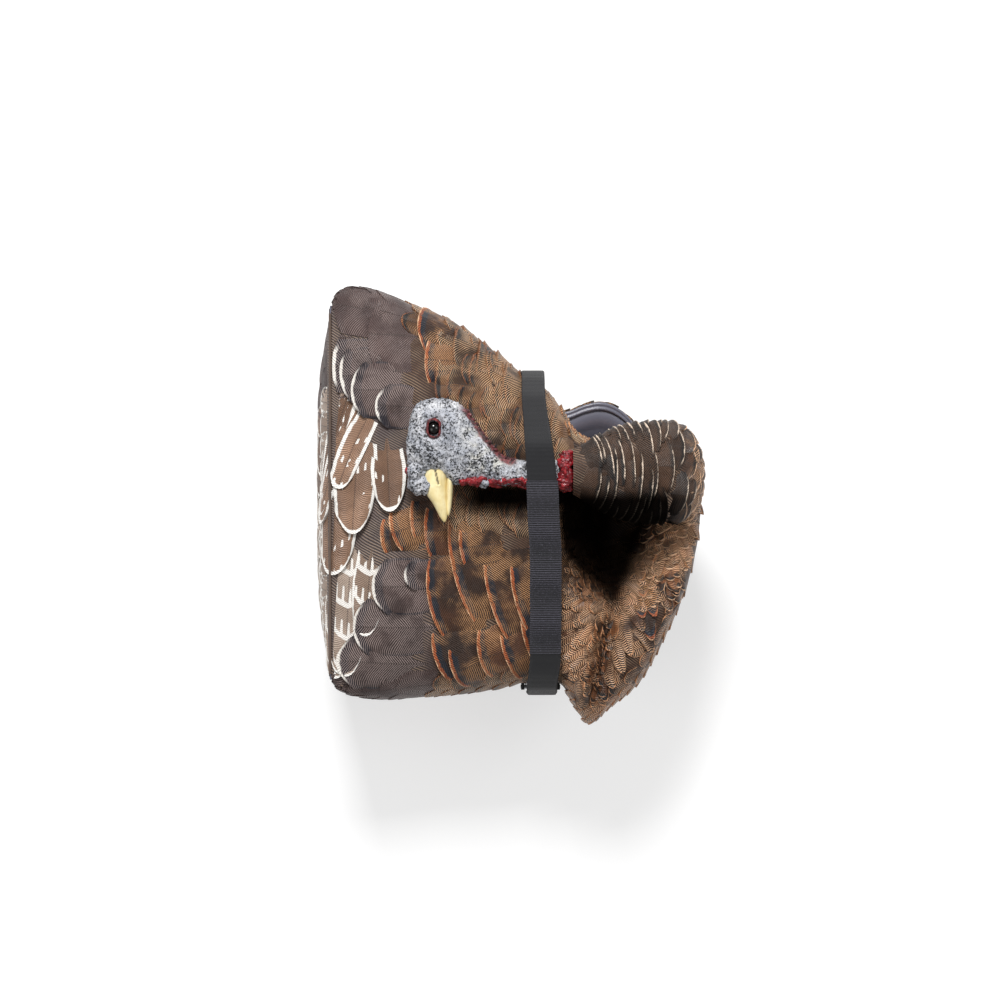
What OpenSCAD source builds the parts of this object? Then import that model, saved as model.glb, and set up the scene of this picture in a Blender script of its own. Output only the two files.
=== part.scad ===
// Folding turkey decoy, packed: a soft rubber body folded in two like a book,
// with the neck laid over its back and a strap round the bundle.
// Millimetres. +Z is up, the packed decoy lies on its folded tail half, and the
// origin is at the middle of its footprint. +X runs from the fold to the breast.

/* [Body shells] */
// Thickness of the rubber shells
wall_t = 4; // [3:0.5:5]
// Height of the upper fold line
upper_fold_z = 168; // [160:1:172]
// Height of the lower fold line
lower_fold_z = 22; // [18:1:26]
// Height of the plane where the two halves meet
parting_z = 95; // [92:1:98]
// How far the back rises above the upper fold line
back_crown = 13; // [8:1:14]
// Depth of the hollow that the folded neck presses into the breast
hollow_depth = 52; // [40:1:54]
// Depth of the seat under the folded neck's root
root_depth = 38; // [30:1:44]
// How far the spine panel bulges past the fold lines
spine_bulge = 14; // [8:1:16]

/* [Neck and head] */
// Height of the neck's own axis above the floor
neck_z = 204; // [203:0.5:206]
// Radius of the bare neck where the strap crosses it
bare_neck_r = 10.5; // [9:0.5:10.5]
// Radius of the post that the head turns on
post_r = 6; // [5:0.5:6.5]
// Radius of the glass eyes
eye_r = 6.5; // [6:0.25:7]
// Running clearance of the turning joints
run_gap = 0.06; // [0.04:0.01:0.08]

/* [Strap] */
// Width of the webbing
strap_w = 28; // [25:1:30]
// Thickness of one layer of webbing
strap_t = 2; // [1.5:0.1:2.2]
// Radius of the bar that the strap is sewn round
bar_r = 2; // [1.5:0.1:2]

/* [Stake socket] */
// Radius of the hole for the ground stake
stake_bore_r = 4.9; // [4:0.1:5.2]
// Depth of that hole
stake_bore_len = 52; // [40:1:52]
// Outer radius of the socket housing
housing_r = 12; // [11.5:0.5:13]

/* [Hidden] */

fold_x = -160;                 // both fold lines lie above each other here
rim_gap = 2;                   // from the parting plane to each shell's rim
fold_gap = 2;                  // from a fold line to the panels beside it
bead_r = 1.2;
front_end_x = 174.5;
tail_end_x = 121;
neck_y = 30;                   // the neck lies along this line
neck_pivot = [138, 170];       // x and z of the line that the neck folds about
strap_x = 29;                  // middle of the strap
bar_y = -166;
bar_z = 101;
socket_x = -60;
arch_power = 4;                // squareness of the shells' cross-sections

// Plan outlines, each edge as [x, y] from the fold to the far end.
front_upper_edge = [
    [-160, 178], [-152, 192], [-135, 196.5], [-107, 190], [-49, 166], [10, 121], [32, 106],
    [46, 90], [60, 68], [85, 58], [130, 57], [158, 42], [169, 22], [front_end_x, 0]
];
front_lower_edge = [
    [-160, -154], [-150, -166], [-116, -174], [-71, -173], [-8, -166], [12, -160.5], [46, -160.5],
    [60, -182], [72, -198], [90, -184], [118, -160], [140, -121], [160, -76], [171, -35], [front_end_x, -6]
];
tail_upper_edge = [
    [-160, 174], [-120, 172], [-60, 146], [0, 104], [35, 88], [52, 86.5], [70, 93], [84, 95.5],
    [97, 92], [110, 82], [117, 71], [tail_end_x, 52]
];
tail_lower_edge = [
    [-160, -150], [-120, -158], [-60, -142], [0, -120], [60, -84], [95, -40], [112, 0], [tail_end_x, 34]
];

front_stations = 34;
tail_stations = 26;
spine_stations = 12;
arch_steps = 26;
ring_sides = 28;

// ---------- curves and meshes ----------

function clamp01(a) = min(1, max(0, a));
function smooth(a) = let (t = clamp01(a)) t * t * (3 - 2 * t);
function signed_pow(a, p) = sign(a) * pow(abs(a), p);

// Cubic curve through points sorted by x, read at x.
function slope_at(p, i) =
    let (a = max(0, i - 1), b = min(len(p) - 1, i + 1)) (p[b].y - p[a].y) / (p[b].x - p[a].x);
function segment_of(p, x, i = 0) = (i >= len(p) - 2 || x < p[i + 1].x) ? i : segment_of(p, x, i + 1);
function curve_y(p, x) =
    let (
        i = segment_of(p, x),
        w = p[i + 1].x - p[i].x,
        t = clamp01((x - p[i].x) / w),
        a = slope_at(p, i) * w,
        b = slope_at(p, i + 1) * w
    )
    (1 + 2 * t) * pow(1 - t, 2) * p[i].y + t * pow(1 - t, 2) * a
    + t * t * (3 - 2 * t) * p[i + 1].y + t * t * (t - 1) * b;

// One point of a square-shouldered arch: [across -1..1, up 0..1]. The points are
// evenly spaced over the flat back and closer together round the shoulders.
function arch(k) =
    let (a = 90 * signed_pow(2 * k / arch_steps - 1, 1.8))
    [signed_pow(sin(a), 2 / arch_power), pow(max(0, cos(a)), 2 / arch_power)];

function quad(a, b, c, d) = [[a, b, c], [a, c, d]];

// A closed sheet between two grids of points. The grids match point for point.
module sheet_between(outer, inner) {
    m = len(outer);
    k = len(outer[0]);
    n = m * k;
    function o(i, j) = i * k + j;
    function q(i, j) = n + i * k + j;
    faces = [
        for (i = [0:m - 2], j = [0:k - 2]) each quad(o(i, j), o(i, j + 1), o(i + 1, j + 1), o(i + 1, j)),
        for (i = [0:m - 2], j = [0:k - 2]) each quad(q(i, j), q(i + 1, j), q(i + 1, j + 1), q(i, j + 1)),
        for (i = [0:m - 2]) each quad(o(i, 0), o(i + 1, 0), q(i + 1, 0), q(i, 0)),
        for (i = [0:m - 2]) each quad(o(i, k - 1), q(i, k - 1), q(i + 1, k - 1), o(i + 1, k - 1)),
        for (j = [0:k - 2]) each quad(o(0, j), q(0, j), q(0, j + 1), o(0, j + 1)),
        for (j = [0:k - 2]) each quad(o(m - 1, j), o(m - 1, j + 1), q(m - 1, j + 1), q(m - 1, j))
    ];
    polyhedron([for (r = outer) each r, for (r = inner) each r], faces);
}

// A closed tube wall between two stacks of rings.
module tube_between(outer, inner) {
    m = len(outer);
    k = len(outer[0]);
    n = m * k;
    function o(i, j) = i * k + j % k;
    function q(i, j) = n + i * k + j % k;
    faces = [
        for (i = [0:m - 2], j = [0:k - 1]) each quad(o(i, j), o(i, j + 1), o(i + 1, j + 1), o(i + 1, j)),
        for (i = [0:m - 2], j = [0:k - 1]) each quad(q(i, j), q(i + 1, j), q(i + 1, j + 1), q(i, j + 1)),
        for (j = [0:k - 1]) each quad(o(0, j), q(0, j), q(0, j + 1), o(0, j + 1)),
        for (j = [0:k - 1]) each quad(o(m - 1, j), o(m - 1, j + 1), q(m - 1, j + 1), q(m - 1, j))
    ];
    polyhedron([for (r = outer) each r, for (r = inner) each r], faces);
}

// A strip of thickness t on the left of a line of [y, z] points, as an outline.
function side_of(p, i, t) =
    let (
        a = p[max(0, i - 1)],
        b = p[min(len(p) - 1, i + 1)],
        d = (b - a) / norm(b - a)
    )
    p[i] + t * [-d.y, d.x];
function strip(p, t) = concat(p, [for (i = [len(p) - 1:-1:0]) side_of(p, i, t)]);

// Extrudes an outline drawn in the Y-Z plane by w along X, centred on x.
module along_x(x, w) {
    translate([x - w / 2, 0, 0]) rotate([90, 0, 90]) linear_extrude(w) children();
}

// A cylinder along X from x0 to x1.
module rod_x(x0, x1, y, z, r, fn = 48) {
    translate([x0, y, z]) rotate([0, 90, 0]) cylinder(h = x1 - x0, r = r, $fn = fn);
}

// ---------- the front half ----------

// How far the breast's end has rounded off, 1 inside and 0 at the tip.
function end_round(x, from, to) =
    x < from ? 1 : pow(max(0, 1 - pow((x - from) / (to - from), 2.6)), 1 / 2.6);

function bump(x, y, cx, cy, rx, ry) = exp(-pow(pow((x - cx) / rx, 2) + pow((y - cy) / ry, 2), 1.25));

// Distance from the crease that runs from the hollow down to the corner tip.
function crease_off(x, y) = abs(x - (88 + (y + 108) * 0.17));

function back_height(x, y) =
    upper_fold_z
    + back_crown * smooth((x - fold_x) / 70)
    - 5 * smooth((x - 40) / 60)
    - hollow_depth * bump(x, y, 98, -22, 40, 62)
    - root_depth * bump(x, y, 150, 34, 44, 52)
    - 17 * exp(-pow(crease_off(x, y) / 9, 2)) * smooth((-y - 78) / 30);

function front_rim(x) = max(parting_z + rim_gap, upper_fold_z - fold_gap - (x - fold_x));

// inset is 0 for the outside face, and 1 for the inside one.
function front_point(s, k, inset) =
    let (
        t = wall_t * inset,
        x0 = fold_x + fold_gap + t,
        x = x0 + (front_end_x - 0.5 - t - x0) * (1 - pow(1 - s, 1.5)),
        top_y = curve_y(front_upper_edge, x) - t,
        low_y = curve_y(front_lower_edge, x) + t,
        a = arch(k),
        y = (top_y + low_y) / 2 + (top_y - low_y) / 2 * a.x,
        rim = front_rim(x),
        rise = (back_height(x, y) - rim) * end_round(x, 128, front_end_x + 2)
    )
    [x, y, rim + (rise - t) * a.y];

module front_shell() {
    color("saddlebrown")
        sheet_between(
            [for (i = [0:front_stations]) [for (k = [0:arch_steps]) front_point(i / front_stations, k, 0)]],
            [for (i = [0:front_stations]) [for (k = [0:arch_steps]) front_point(i / front_stations, k, 1)]]
        );
}

// ---------- the spine panel, between the two fold lines ----------

function spine_point(s, k, inset) =
    let (
        t = wall_t * inset,
        low = lower_fold_z + fold_gap + t * 0.6,
        high = upper_fold_z - fold_gap - t * 0.6,
        z = low + (high - low) * s,
        depth = max(0, min(z - lower_fold_z, upper_fold_z - z) - fold_gap - 2),
        bulge = spine_bulge * sin(180 * s),
        a = arch(k),
        y = 12 + (167 - t + 3 * sin(180 * s)) * a.x
    )
    [fold_x + depth - (depth + bulge) * a.y + t * (0.35 + 0.65 * a.y), y, z];

module spine_panel() {
    color("sienna")
        sheet_between(
            [for (i = [0:spine_stations]) [for (k = [0:arch_steps]) spine_point(i / spine_stations, k, 0)]],
            [for (i = [0:spine_stations]) [for (k = [0:arch_steps]) spine_point(i / spine_stations, k, 1)]]
        );
}

module fold_bead(z) {
    color("dimgray") translate([fold_x, -150, z]) rotate([-90, 0, 0]) cylinder(h = 322, r = bead_r, $fn = 24);
}

// ---------- the tail half ----------

function tail_rim(x) = min(parting_z - rim_gap, lower_fold_z + fold_gap - 0.4 + (x - fold_x));
function belly_height(x) = strap_t + 0.4 + (lower_fold_z - strap_t) * pow(1 - smooth((x - fold_x) / 60), 1.5);

function tail_point(s, k, inset) =
    let (
        t = wall_t * inset,
        x0 = fold_x + fold_gap + t,
        x = x0 + (tail_end_x - 0.5 - t - x0) * (1 - pow(1 - s, 1.5)),
        top_y = curve_y(tail_upper_edge, x) - t,
        low_y = curve_y(tail_lower_edge, x) + t,
        a = arch(k),
        y = (top_y + low_y) / 2 + (top_y - low_y) / 2 * a.x,
        rim = tail_rim(x),
        drop = (rim - belly_height(x)) * end_round(x, 60, tail_end_x + 2)
    )
    [x, y, rim - (drop - t) * a.y];

module tail_shell() {
    color("sienna")
        sheet_between(
            [for (i = [0:tail_stations]) [for (k = [arch_steps:-1:0]) tail_point(i / tail_stations, k, 0)]],
            [for (i = [0:tail_stations]) [for (k = [arch_steps:-1:0]) tail_point(i / tail_stations, k, 1)]]
        );
}

// ---------- the neck ----------

function ellipse(centre, across, up) =
    [for (j = [0:ring_sides - 1]) let (a = 360 * j / ring_sides) centre + across * cos(a) + up * sin(a)];

// The skirt bends from the breast up and over towards the back.
bend_centre = [118, neck_y, 152];
bend_r = 40;
function skirt_ring(a, t) =
    let (
        s = (a + 12) / 100,
        out = [cos(a), 0, sin(a)],
        across = 30 + 14 * smooth(a / 50) - t,
        thick = 14 + 13 * smooth(s) - t
    )
    ellipse(bend_centre + bend_r * out, [0, across, 0], out * thick);

module neck_skirt() {
    color("saddlebrown")
        tube_between(
            [for (a = [-12:10:88]) skirt_ring(a, 0)],
            [for (a = [-12:10:88]) skirt_ring(a, wall_t - 1)]
        );
}

sleeve_x0 = 117.5;
sleeve_x1 = 57;
function sleeve_ring(s, t) =
    let (x = sleeve_x0 + (sleeve_x1 - sleeve_x0) * s)
    ellipse(
        [x, neck_y, 192 + (neck_z - 192) * smooth(s)],
        [0, 43.5 - 24 * pow(s, 1.5) - t, 0],
        [0, 0, 27 - 8 * s - t]
    );

module neck_sleeve() {
    color("saddlebrown")
        tube_between(
            [for (i = [0:9]) sleeve_ring(i / 9, 0)],
            [for (i = [0:9]) sleeve_ring(i / 9, wall_t - 1)]
        );
}

// Nylon bushing in the sleeve that the head's post turns in.
module neck_bushing() {
    color("black") difference() {
        union() {
            rod_x(60, 84, neck_y, neck_z, 11);
            rod_x(58.5, 61.5, neck_y, neck_z, 15.6);
        }
        rod_x(58, 85, neck_y, neck_z, post_r + run_gap);
    }
}

// Red fleshy ring at the foot of the bare neck.
module caruncle_ring() {
    lump_r = 5.6;
    color("firebrick") translate([50.5, neck_y, neck_z]) rotate([0, 90, 0])
        rotate_extrude($fn = 64) translate([13.4, 0]) circle(r = lump_r, $fn = 32);
}

// ---------- the head ----------

eye_at = [-66, 68];
eye_off = 15;                 // from the head's middle plane to an eye's centre
beak_seat_y = 34;             // the beak is set against a flat face here

module ball(x, y, r, flat = 0.72) {
    translate([x, y, neck_z]) scale([1, 1, flat]) sphere(r = r, $fn = 30);
}

module head_shell() {
    color("lightsteelblue") difference() {
        union() {
            hull() {
                ball(-60, 64, 29, 0.7);
                ball(-76.5, 45, 13, 1);
                ball(-52, 36, 14, 1);
            }
            hull() {
                ball(-47, 62, 22, 0.8);
                ball(-47, 36, 13, 1);
                rod_x(-4, -1, neck_y, neck_z, bare_neck_r + 2, 30);
            }
        }
        translate([-110, -20, neck_z - 30]) cube([61, beak_seat_y + 20, 60]);
        wattle(4.2, 3.4);
        for (side = [-1, 1]) translate([eye_at.x, eye_at.y, neck_z + side * eye_off]) {
            sphere(r = eye_r + 0.3, $fn = 32);
            translate([0, 0, side * (2.4 + 5)]) cylinder(h = 10, r = eye_r + 2.4, center = true, $fn = 40);
        }
    }
}

module eye(side) {
    color("black") translate([eye_at.x, eye_at.y, neck_z + side * eye_off]) sphere(r = eye_r, $fn = 48);
}

module eyelid(side) {
    lid_r = 1.2;
    color("firebrick") translate([eye_at.x, eye_at.y, neck_z + side * (eye_off + 2.6 + lid_r)])
        rotate_extrude($fn = 48) translate([eye_r + lid_r - 0.2, 0]) circle(r = lid_r, $fn = 20);
}

module bare_neck() {
    color("lightsteelblue") translate([-0.8, neck_y, neck_z]) rotate([0, 90, 0]) rotate_extrude($fn = 64)
        polygon([[0, 0], [bare_neck_r + 2, 0], [bare_neck_r, 14], [bare_neck_r, 43], [0, 43]]);
}

module head_post() {
    color("gray") rod_x(42.4, 90, neck_y, neck_z, post_r);
}

module post_clip() {
    color("silver") difference() {
        rod_x(85, 87, neck_y, neck_z, post_r + 3.5);
        rod_x(84, 88, neck_y, neck_z, post_r);
    }
}

// A beak half is a hull of three slices, each [x, y, half-width in x, half-width in z].
module beak_half(slices) {
    color("wheat") hull() for (s = slices) translate([s[0], s[1], neck_z])
        rotate([90, 0, 0]) scale([s[2], s[3], 1]) cylinder(h = 0.8, r = 1, $fn = 28);
}

module upper_beak() beak_half([
    [-65.2, beak_seat_y - 0.2, 9.6, 10], [-65.2, 14, 9.2, 9], [-61.2, 3, 6.4, 6], [-56.6, -12.8, 1.8, 1.8]
]);
module lower_beak() beak_half([
    [-52.4, beak_seat_y - 0.2, 2.9, 8.6], [-52.2, 14, 2.6, 7.4], [-52.2, 0, 1.4, 3.4], [-52.6, -6, 0.9, 1.4]
]);

module snood() {
    color("lightsteelblue") hull() {
        translate([-82.6, beak_seat_y - 6.3, neck_z]) sphere(r = 6, $fn = 28);
        translate([-81.8, 15, neck_z]) sphere(r = 6, $fn = 28);
    }
}

// Lumpy red strip along the throat, let into the head.
module wattle(r0, r1) {
    hull() {
        translate([-38, 24, neck_z]) sphere(r = r0, $fn = 24);
        translate([-6, 20.6, neck_z]) sphere(r = r1, $fn = 24);
    }
}

module throat_wattle() {
    color("firebrick") wattle(4, 3.2);
}

// ---------- the strap ----------

// Inside line of the strap over the front half, from the bar to the far edge.
strap_line = [
    [-168.4, 101], [-167.4, 135], [-161.5, 158], [-146, 173], [-128, 181.5],
    [8, 216], [52, 216], [97, 180.5], [113.5, 160], [120.3, 146], [120.7, 134], [120.7, 118]
];
end_loop_from = 4;            // the sewn end reaches to this point of the line
hook_to_y = -62;
loop_to_y = 24;

function line_z(y) =
    let (i = segment_of(strap_line, y), a = strap_line[i], b = strap_line[i + 1])
    a.y + (b.y - a.y) * (y - a.x) / (b.x - a.x);

module strap_end_loop() {
    inside = [for (i = [0:end_loop_from]) strap_line[i]];
    color("black") difference() {
        union() {
            along_x(strap_x, strap_w)
                polygon(concat(
                    inside,
                    [for (i = [end_loop_from:-1:1]) side_of(inside, i, 2 * strap_t)],
                    [[inside[0].x - 2 * strap_t, bar_z + 5]]
                ));
            rod_x(strap_x - strap_w / 2, strap_x + strap_w / 2, bar_y, bar_z, bar_r + run_gap + strap_t);
        }
        rod_x(strap_x - strap_w, strap_x + strap_w, bar_y, bar_z, bar_r + run_gap);
    }
}

module strap_hook_band() {
    over = [[hook_to_y, line_z(hook_to_y)], for (i = [5:len(strap_line) - 1]) strap_line[i]];
    color("black") along_x(strap_x, strap_w - 2) polygon(strip(over, strap_t));
}

module strap_loop_band() {
    first = strap_line[end_loop_from] + [-0.6, 0.1];
    line = [first, [8, 216], [loop_to_y, 216]];
    color("dimgray") along_x(strap_x, strap_w)
        polygon(strip([for (p = line) p + [0, strap_t + 0.2]], strap_t));
}

module anchor_plate() {
    plate_w = strap_w + 7;
    color("black") difference() {
        union() {
            translate([strap_x - plate_w / 2, -161.85, 98]) cube([plate_w, 0.8, 20]);
            for (side = [-1, 1]) translate([strap_x + side * (strap_w / 2 + 2.2) - 1.5, -168.5, bar_z - 3])
                cube([3, 7.3, 6]);
        }
        rod_x(strap_x - 30, strap_x + 30, bar_y, bar_z, bar_r);
    }
}

module anchor_bar() {
    color("silver") rod_x(strap_x - strap_w / 2 - 4.2, strap_x + strap_w / 2 + 4.2, bar_y, bar_z, bar_r);
}

module anchor_rivets() {
    color("silver") for (side = [-1, 1])
        translate([strap_x + side * (strap_w / 2 - 2), -161.9, 112]) rotate([90, 0, 0])
            cylinder(h = 1.5, r = 2.4, $fn = 32);
}

// The strap's rear run, sewn across the tail half.
rear_line = [
    [116.6, 142], [117.6, 128], [117.6, 94], [112.6, 80], [112.6, 66], [93, 22], [72, strap_t],
    [-84, strap_t], [-106, 18], [-156, 76], [-159.5, 91]
];
module rear_webbing() {
    color("black") along_x(strap_x, strap_w - 2)
        polygon(strip([for (i = [len(rear_line) - 1:-1:0]) rear_line[i]], -strap_t));
}

module loop_patch() {
    color("dimgray") along_x(strap_x, strap_w - 4)
        polygon([[119.65, 127], [120.45, 127], [120.45, 100], [119.65, 100]]);
}

// ---------- the stake socket ----------

socket_top = upper_fold_z + back_crown - wall_t - 3.8;
bore_low = 117;
module ring_z(z0, z1, r_out, r_in) {
    translate([socket_x, 0, z0]) difference() {
        cylinder(h = z1 - z0, r = r_out, $fn = 64);
        translate([0, 0, -1]) cylinder(h = z1 - z0 + 2, r = r_in, $fn = 64);
    }
}

module stake_housing() {
    color("black") ring_z(bore_low + 5.4, socket_top, housing_r, 8 + run_gap);
}

module socket_plate() {
    color("dimgray") translate([socket_x, 0, socket_top + 0.1]) difference() {
        cylinder(h = 3.5, r = 26, $fn = 64);
        for (a = [45:90:315]) rotate(a) translate([20, 0, -1]) cylinder(h = 6, r = 2, $fn = 24);
    }
}

module socket_rivets() {
    color("silver") for (a = [45:90:315]) translate([socket_x, 0, socket_top + 0.1]) rotate(a)
        translate([20, 0, 0]) union() {
            translate([0, 0, -0.6]) cylinder(h = 4, r = 1.98, $fn = 24);
            translate([0, 0, -1.65]) cylinder(h = 1.6, r = 3.8, $fn = 32);
        }
}

module retaining_collar() {
    color("black") union() {
        ring_z(bore_low - 2.5, bore_low - 0.3, housing_r + 3, 7);
        ring_z(bore_low - 0.4, bore_low + 12, housing_r + 3, housing_r + 0.1);
    }
}

// Turns in the housing with the stake, so that the decoy swings in the wind.
module swivel_bushing() {
    color("white") difference() {
        union() {
            translate([socket_x, 0, bore_low]) cylinder(h = 5, r = housing_r - 0.4, $fn = 64);
            translate([socket_x, 0, bore_low]) cylinder(h = stake_bore_len + 2, r = 8, $fn = 64);
        }
        translate([socket_x, 0, bore_low - 1]) cylinder(h = stake_bore_len + 1, r = stake_bore_r, $fn = 64);
    }
}

front_shell();
neck_skirt();
stake_housing();
socket_plate();
socket_rivets();
retaining_collar();
anchor_plate();
anchor_bar();
anchor_rivets();
swivel_bushing();
fold_bead(upper_fold_z);  // upper_fold_bead
fold_bead(lower_fold_z);  // lower_fold_bead
spine_panel();
tail_shell();
rear_webbing();
loop_patch();
neck_sleeve();
neck_bushing();
caruncle_ring();
head_shell();
bare_neck();
head_post();
post_clip();
upper_beak();
lower_beak();
eye(1);  // left_eye
eye(-1);  // right_eye
eyelid(1);  // left_eyelid
eyelid(-1);  // right_eyelid
snood();
throat_wattle();
strap_loop_band();
strap_hook_band();
strap_end_loop();
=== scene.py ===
"""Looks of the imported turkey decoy: feathered rubber skins, a painted head and a
webbing strap, laid over the CAD frame. Lengths are in millimetres until a mesh is
made, and in the CAD's own frame: +Z up, +X from the fold to the breast."""
import math
import random

import bpy
import numpy as np
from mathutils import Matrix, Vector, noise
from mathutils.bvhtree import BVHTree


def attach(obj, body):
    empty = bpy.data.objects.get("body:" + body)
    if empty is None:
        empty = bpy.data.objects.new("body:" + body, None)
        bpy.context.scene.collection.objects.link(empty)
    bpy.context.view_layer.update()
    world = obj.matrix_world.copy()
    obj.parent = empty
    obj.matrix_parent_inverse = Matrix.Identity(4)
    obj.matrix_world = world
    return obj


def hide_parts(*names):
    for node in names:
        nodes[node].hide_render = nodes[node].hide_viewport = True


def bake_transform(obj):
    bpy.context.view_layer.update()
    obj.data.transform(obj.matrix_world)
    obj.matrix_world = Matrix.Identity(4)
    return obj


MM = 0.001
DATA_UNIT = 0.01  # a mesh's own data holds millimetres times this
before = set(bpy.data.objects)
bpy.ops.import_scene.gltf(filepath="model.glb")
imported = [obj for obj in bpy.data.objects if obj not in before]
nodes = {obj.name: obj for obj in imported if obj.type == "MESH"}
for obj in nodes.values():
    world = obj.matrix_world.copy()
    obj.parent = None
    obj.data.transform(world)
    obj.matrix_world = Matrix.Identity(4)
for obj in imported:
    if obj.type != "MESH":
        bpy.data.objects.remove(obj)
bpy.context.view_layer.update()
scene = bpy.context.scene


# ---------- driving dimensions, as in the CAD ----------

WALL = 4.0
FOLD_X = -160.0
UPPER_FOLD_Z = 168.0
LOWER_FOLD_Z = 22.0
PARTING_Z = 95.0
RIM_GAP = 2.0
FOLD_GAP = 2.0
BACK_CROWN = 13.0
HOLLOW_DEPTH = 52.0
ROOT_DEPTH = 38.0
SPINE_BULGE = 14.0
FRONT_END_X = 174.5
TAIL_END_X = 121.0
NECK_Y = 30.0
NECK_Z = 204.0
STRAP_X = 29.0
STRAP_W = 28.0
STRAP_T = 2.0
BELLY_Z = 2.4
RUBBER = "feathered_rubber"

FRONT_UPPER_EDGE = [
    (-160, 178), (-152, 192), (-135, 196.5), (-107, 190), (-49, 166), (10, 121), (32, 106),
    (46, 90), (60, 68), (85, 58), (130, 57), (158, 42), (169, 22), (174.5, 0),
]
FRONT_LOWER_EDGE = [
    (-160, -154), (-150, -166), (-116, -174), (-71, -173), (-8, -166), (12, -160.5), (46, -160.5),
    (60, -182), (72, -198), (90, -184), (118, -160), (140, -121), (160, -76), (171, -35), (174.5, -6),
]
TAIL_UPPER_EDGE = [
    (-160, 174), (-120, 172), (-60, 146), (0, 104), (35, 88), (52, 86.5), (70, 93), (84, 95.5),
    (97, 92), (110, 82), (117, 71), (121, 52),
]
TAIL_LOWER_EDGE = [
    (-160, -150), (-120, -158), (-60, -142), (0, -120), (60, -84), (95, -40), (112, 0), (121, 34),
]


# ---------- small maths ----------

def smooth(a):
    t = np.clip(a, 0, 1)
    return t * t * (3 - 2 * t)


def unit(v):
    v = np.asarray(v, float)
    return v / max(np.linalg.norm(v), 1e-9)


def curve_y(points, x):
    """Cubic curve through points sorted by x, read at x."""
    px, py = np.array(points, float).T
    slope = np.empty(len(px))
    slope[1:-1] = (py[2:] - py[:-2]) / (px[2:] - px[:-2])
    slope[0] = (py[1] - py[0]) / (px[1] - px[0])
    slope[-1] = (py[-1] - py[-2]) / (px[-1] - px[-2])
    x = np.asarray(x, float)
    i = np.clip(np.searchsorted(px, x, side="right") - 1, 0, len(px) - 2)
    w = px[i + 1] - px[i]
    t = np.clip((x - px[i]) / w, 0, 1)
    return (
        (1 + 2 * t) * (1 - t) ** 2 * py[i] + t * (1 - t) ** 2 * slope[i] * w
        + t * t * (3 - 2 * t) * py[i + 1] + t * t * (t - 1) * slope[i + 1] * w
    )


def arch(p):
    """One point of a square-shouldered arch for p from -1 to 1: across, up."""
    w = np.abs(p) ** 1.8 * math.pi / 2
    return np.sign(p) * np.sqrt(np.sin(w)), np.sqrt(np.clip(np.cos(w), 0, 1))


def bump(x, y, cx, cy, rx, ry):
    return np.exp(-((((x - cx) / rx) ** 2 + ((y - cy) / ry) ** 2) ** 1.25))


def end_round(x, start, end):
    t = np.clip((x - start) / (end - start), 0, 1)
    return (1 - t ** 2.6) ** (1 / 2.6)


# ---------- the skins' surfaces ----------

def crease_x(y):
    """The crease that runs from the hollow down to the corner tip."""
    return 88 + (y + 108) * 0.17


def back_height(x, y):
    return (
        UPPER_FOLD_Z
        + BACK_CROWN * smooth((x - FOLD_X) / 70)
        - 5 * smooth((x - 40) / 60)
        - HOLLOW_DEPTH * bump(x, y, 98, -22, 40, 62)
        - ROOT_DEPTH * bump(x, y, 150, 34, 44, 52)
        - 17 * np.exp(-(((x - crease_x(y)) / 9) ** 2)) * smooth((-y - 78) / 30)
    )


def front_point(x, p, inset=0.0):
    top_y = curve_y(FRONT_UPPER_EDGE, x) - inset
    low_y = curve_y(FRONT_LOWER_EDGE, x) + inset
    across, up = arch(p)
    y = (top_y + low_y) / 2 + (top_y - low_y) / 2 * across
    rim = np.maximum(PARTING_Z + RIM_GAP, UPPER_FOLD_Z - FOLD_GAP - (x - FOLD_X))
    rise = (back_height(x, y) - rim) * end_round(x, 128, FRONT_END_X + 2)
    return np.stack(np.broadcast_arrays(x, y, rim + (rise - inset) * up), -1)


def tail_point(x, p, inset=0.0):
    top_y = curve_y(TAIL_UPPER_EDGE, x) - inset
    low_y = curve_y(TAIL_LOWER_EDGE, x) + inset
    across, up = arch(p)
    y = (top_y + low_y) / 2 + (top_y - low_y) / 2 * across
    rim = np.minimum(PARTING_Z - RIM_GAP, LOWER_FOLD_Z + FOLD_GAP + (x - FOLD_X))
    belly = BELLY_Z + (LOWER_FOLD_Z - STRAP_T) * (1 - smooth((x - FOLD_X) / 60)) ** 1.5
    drop = (rim - belly) * end_round(x, 60, TAIL_END_X + 2)
    return np.stack(np.broadcast_arrays(x, y, rim - (drop - inset) * up), -1)


def spine_point(z, p, inset=0.0):
    s = (z - LOWER_FOLD_Z) / (UPPER_FOLD_Z - LOWER_FOLD_Z)
    depth = np.clip(np.minimum(z - LOWER_FOLD_Z, UPPER_FOLD_Z - z) - FOLD_GAP - 2, 0, None)
    bulge = SPINE_BULGE * np.sin(math.pi * np.clip(s, 0, 1))
    across, up = arch(p)
    y = 12 + (167 - inset + 3 * np.sin(math.pi * s)) * across
    x = FOLD_X + depth - (depth + bulge) * up + inset * (0.35 + 0.65 * up)
    return np.stack(np.broadcast_arrays(x, y, z), -1)


# ---------- mesh building ----------

def quads_of(rows, cols, flip, close):
    """The corner numbers of the quads in a sheet of rows x cols points."""
    i, j = np.meshgrid(np.arange(rows - 1), np.arange(cols if close else cols - 1), indexing="ij")
    i, j = i.ravel(), j.ravel()
    n = (j + 1) % cols
    quads = np.stack([i * cols + j, i * cols + n, (i + 1) * cols + n, (i + 1) * cols + j], 1)
    return quads[:, ::-1] if flip else quads


def tree_of(points, flip=False, close=False):
    """A search tree of one sheet of points, with its normals outwards."""
    quads = quads_of(*points.shape[:2], flip, close)
    return BVHTree.FromPolygons([Vector(v) for v in points.reshape(-1, 3)], quads.tolist())


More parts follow.
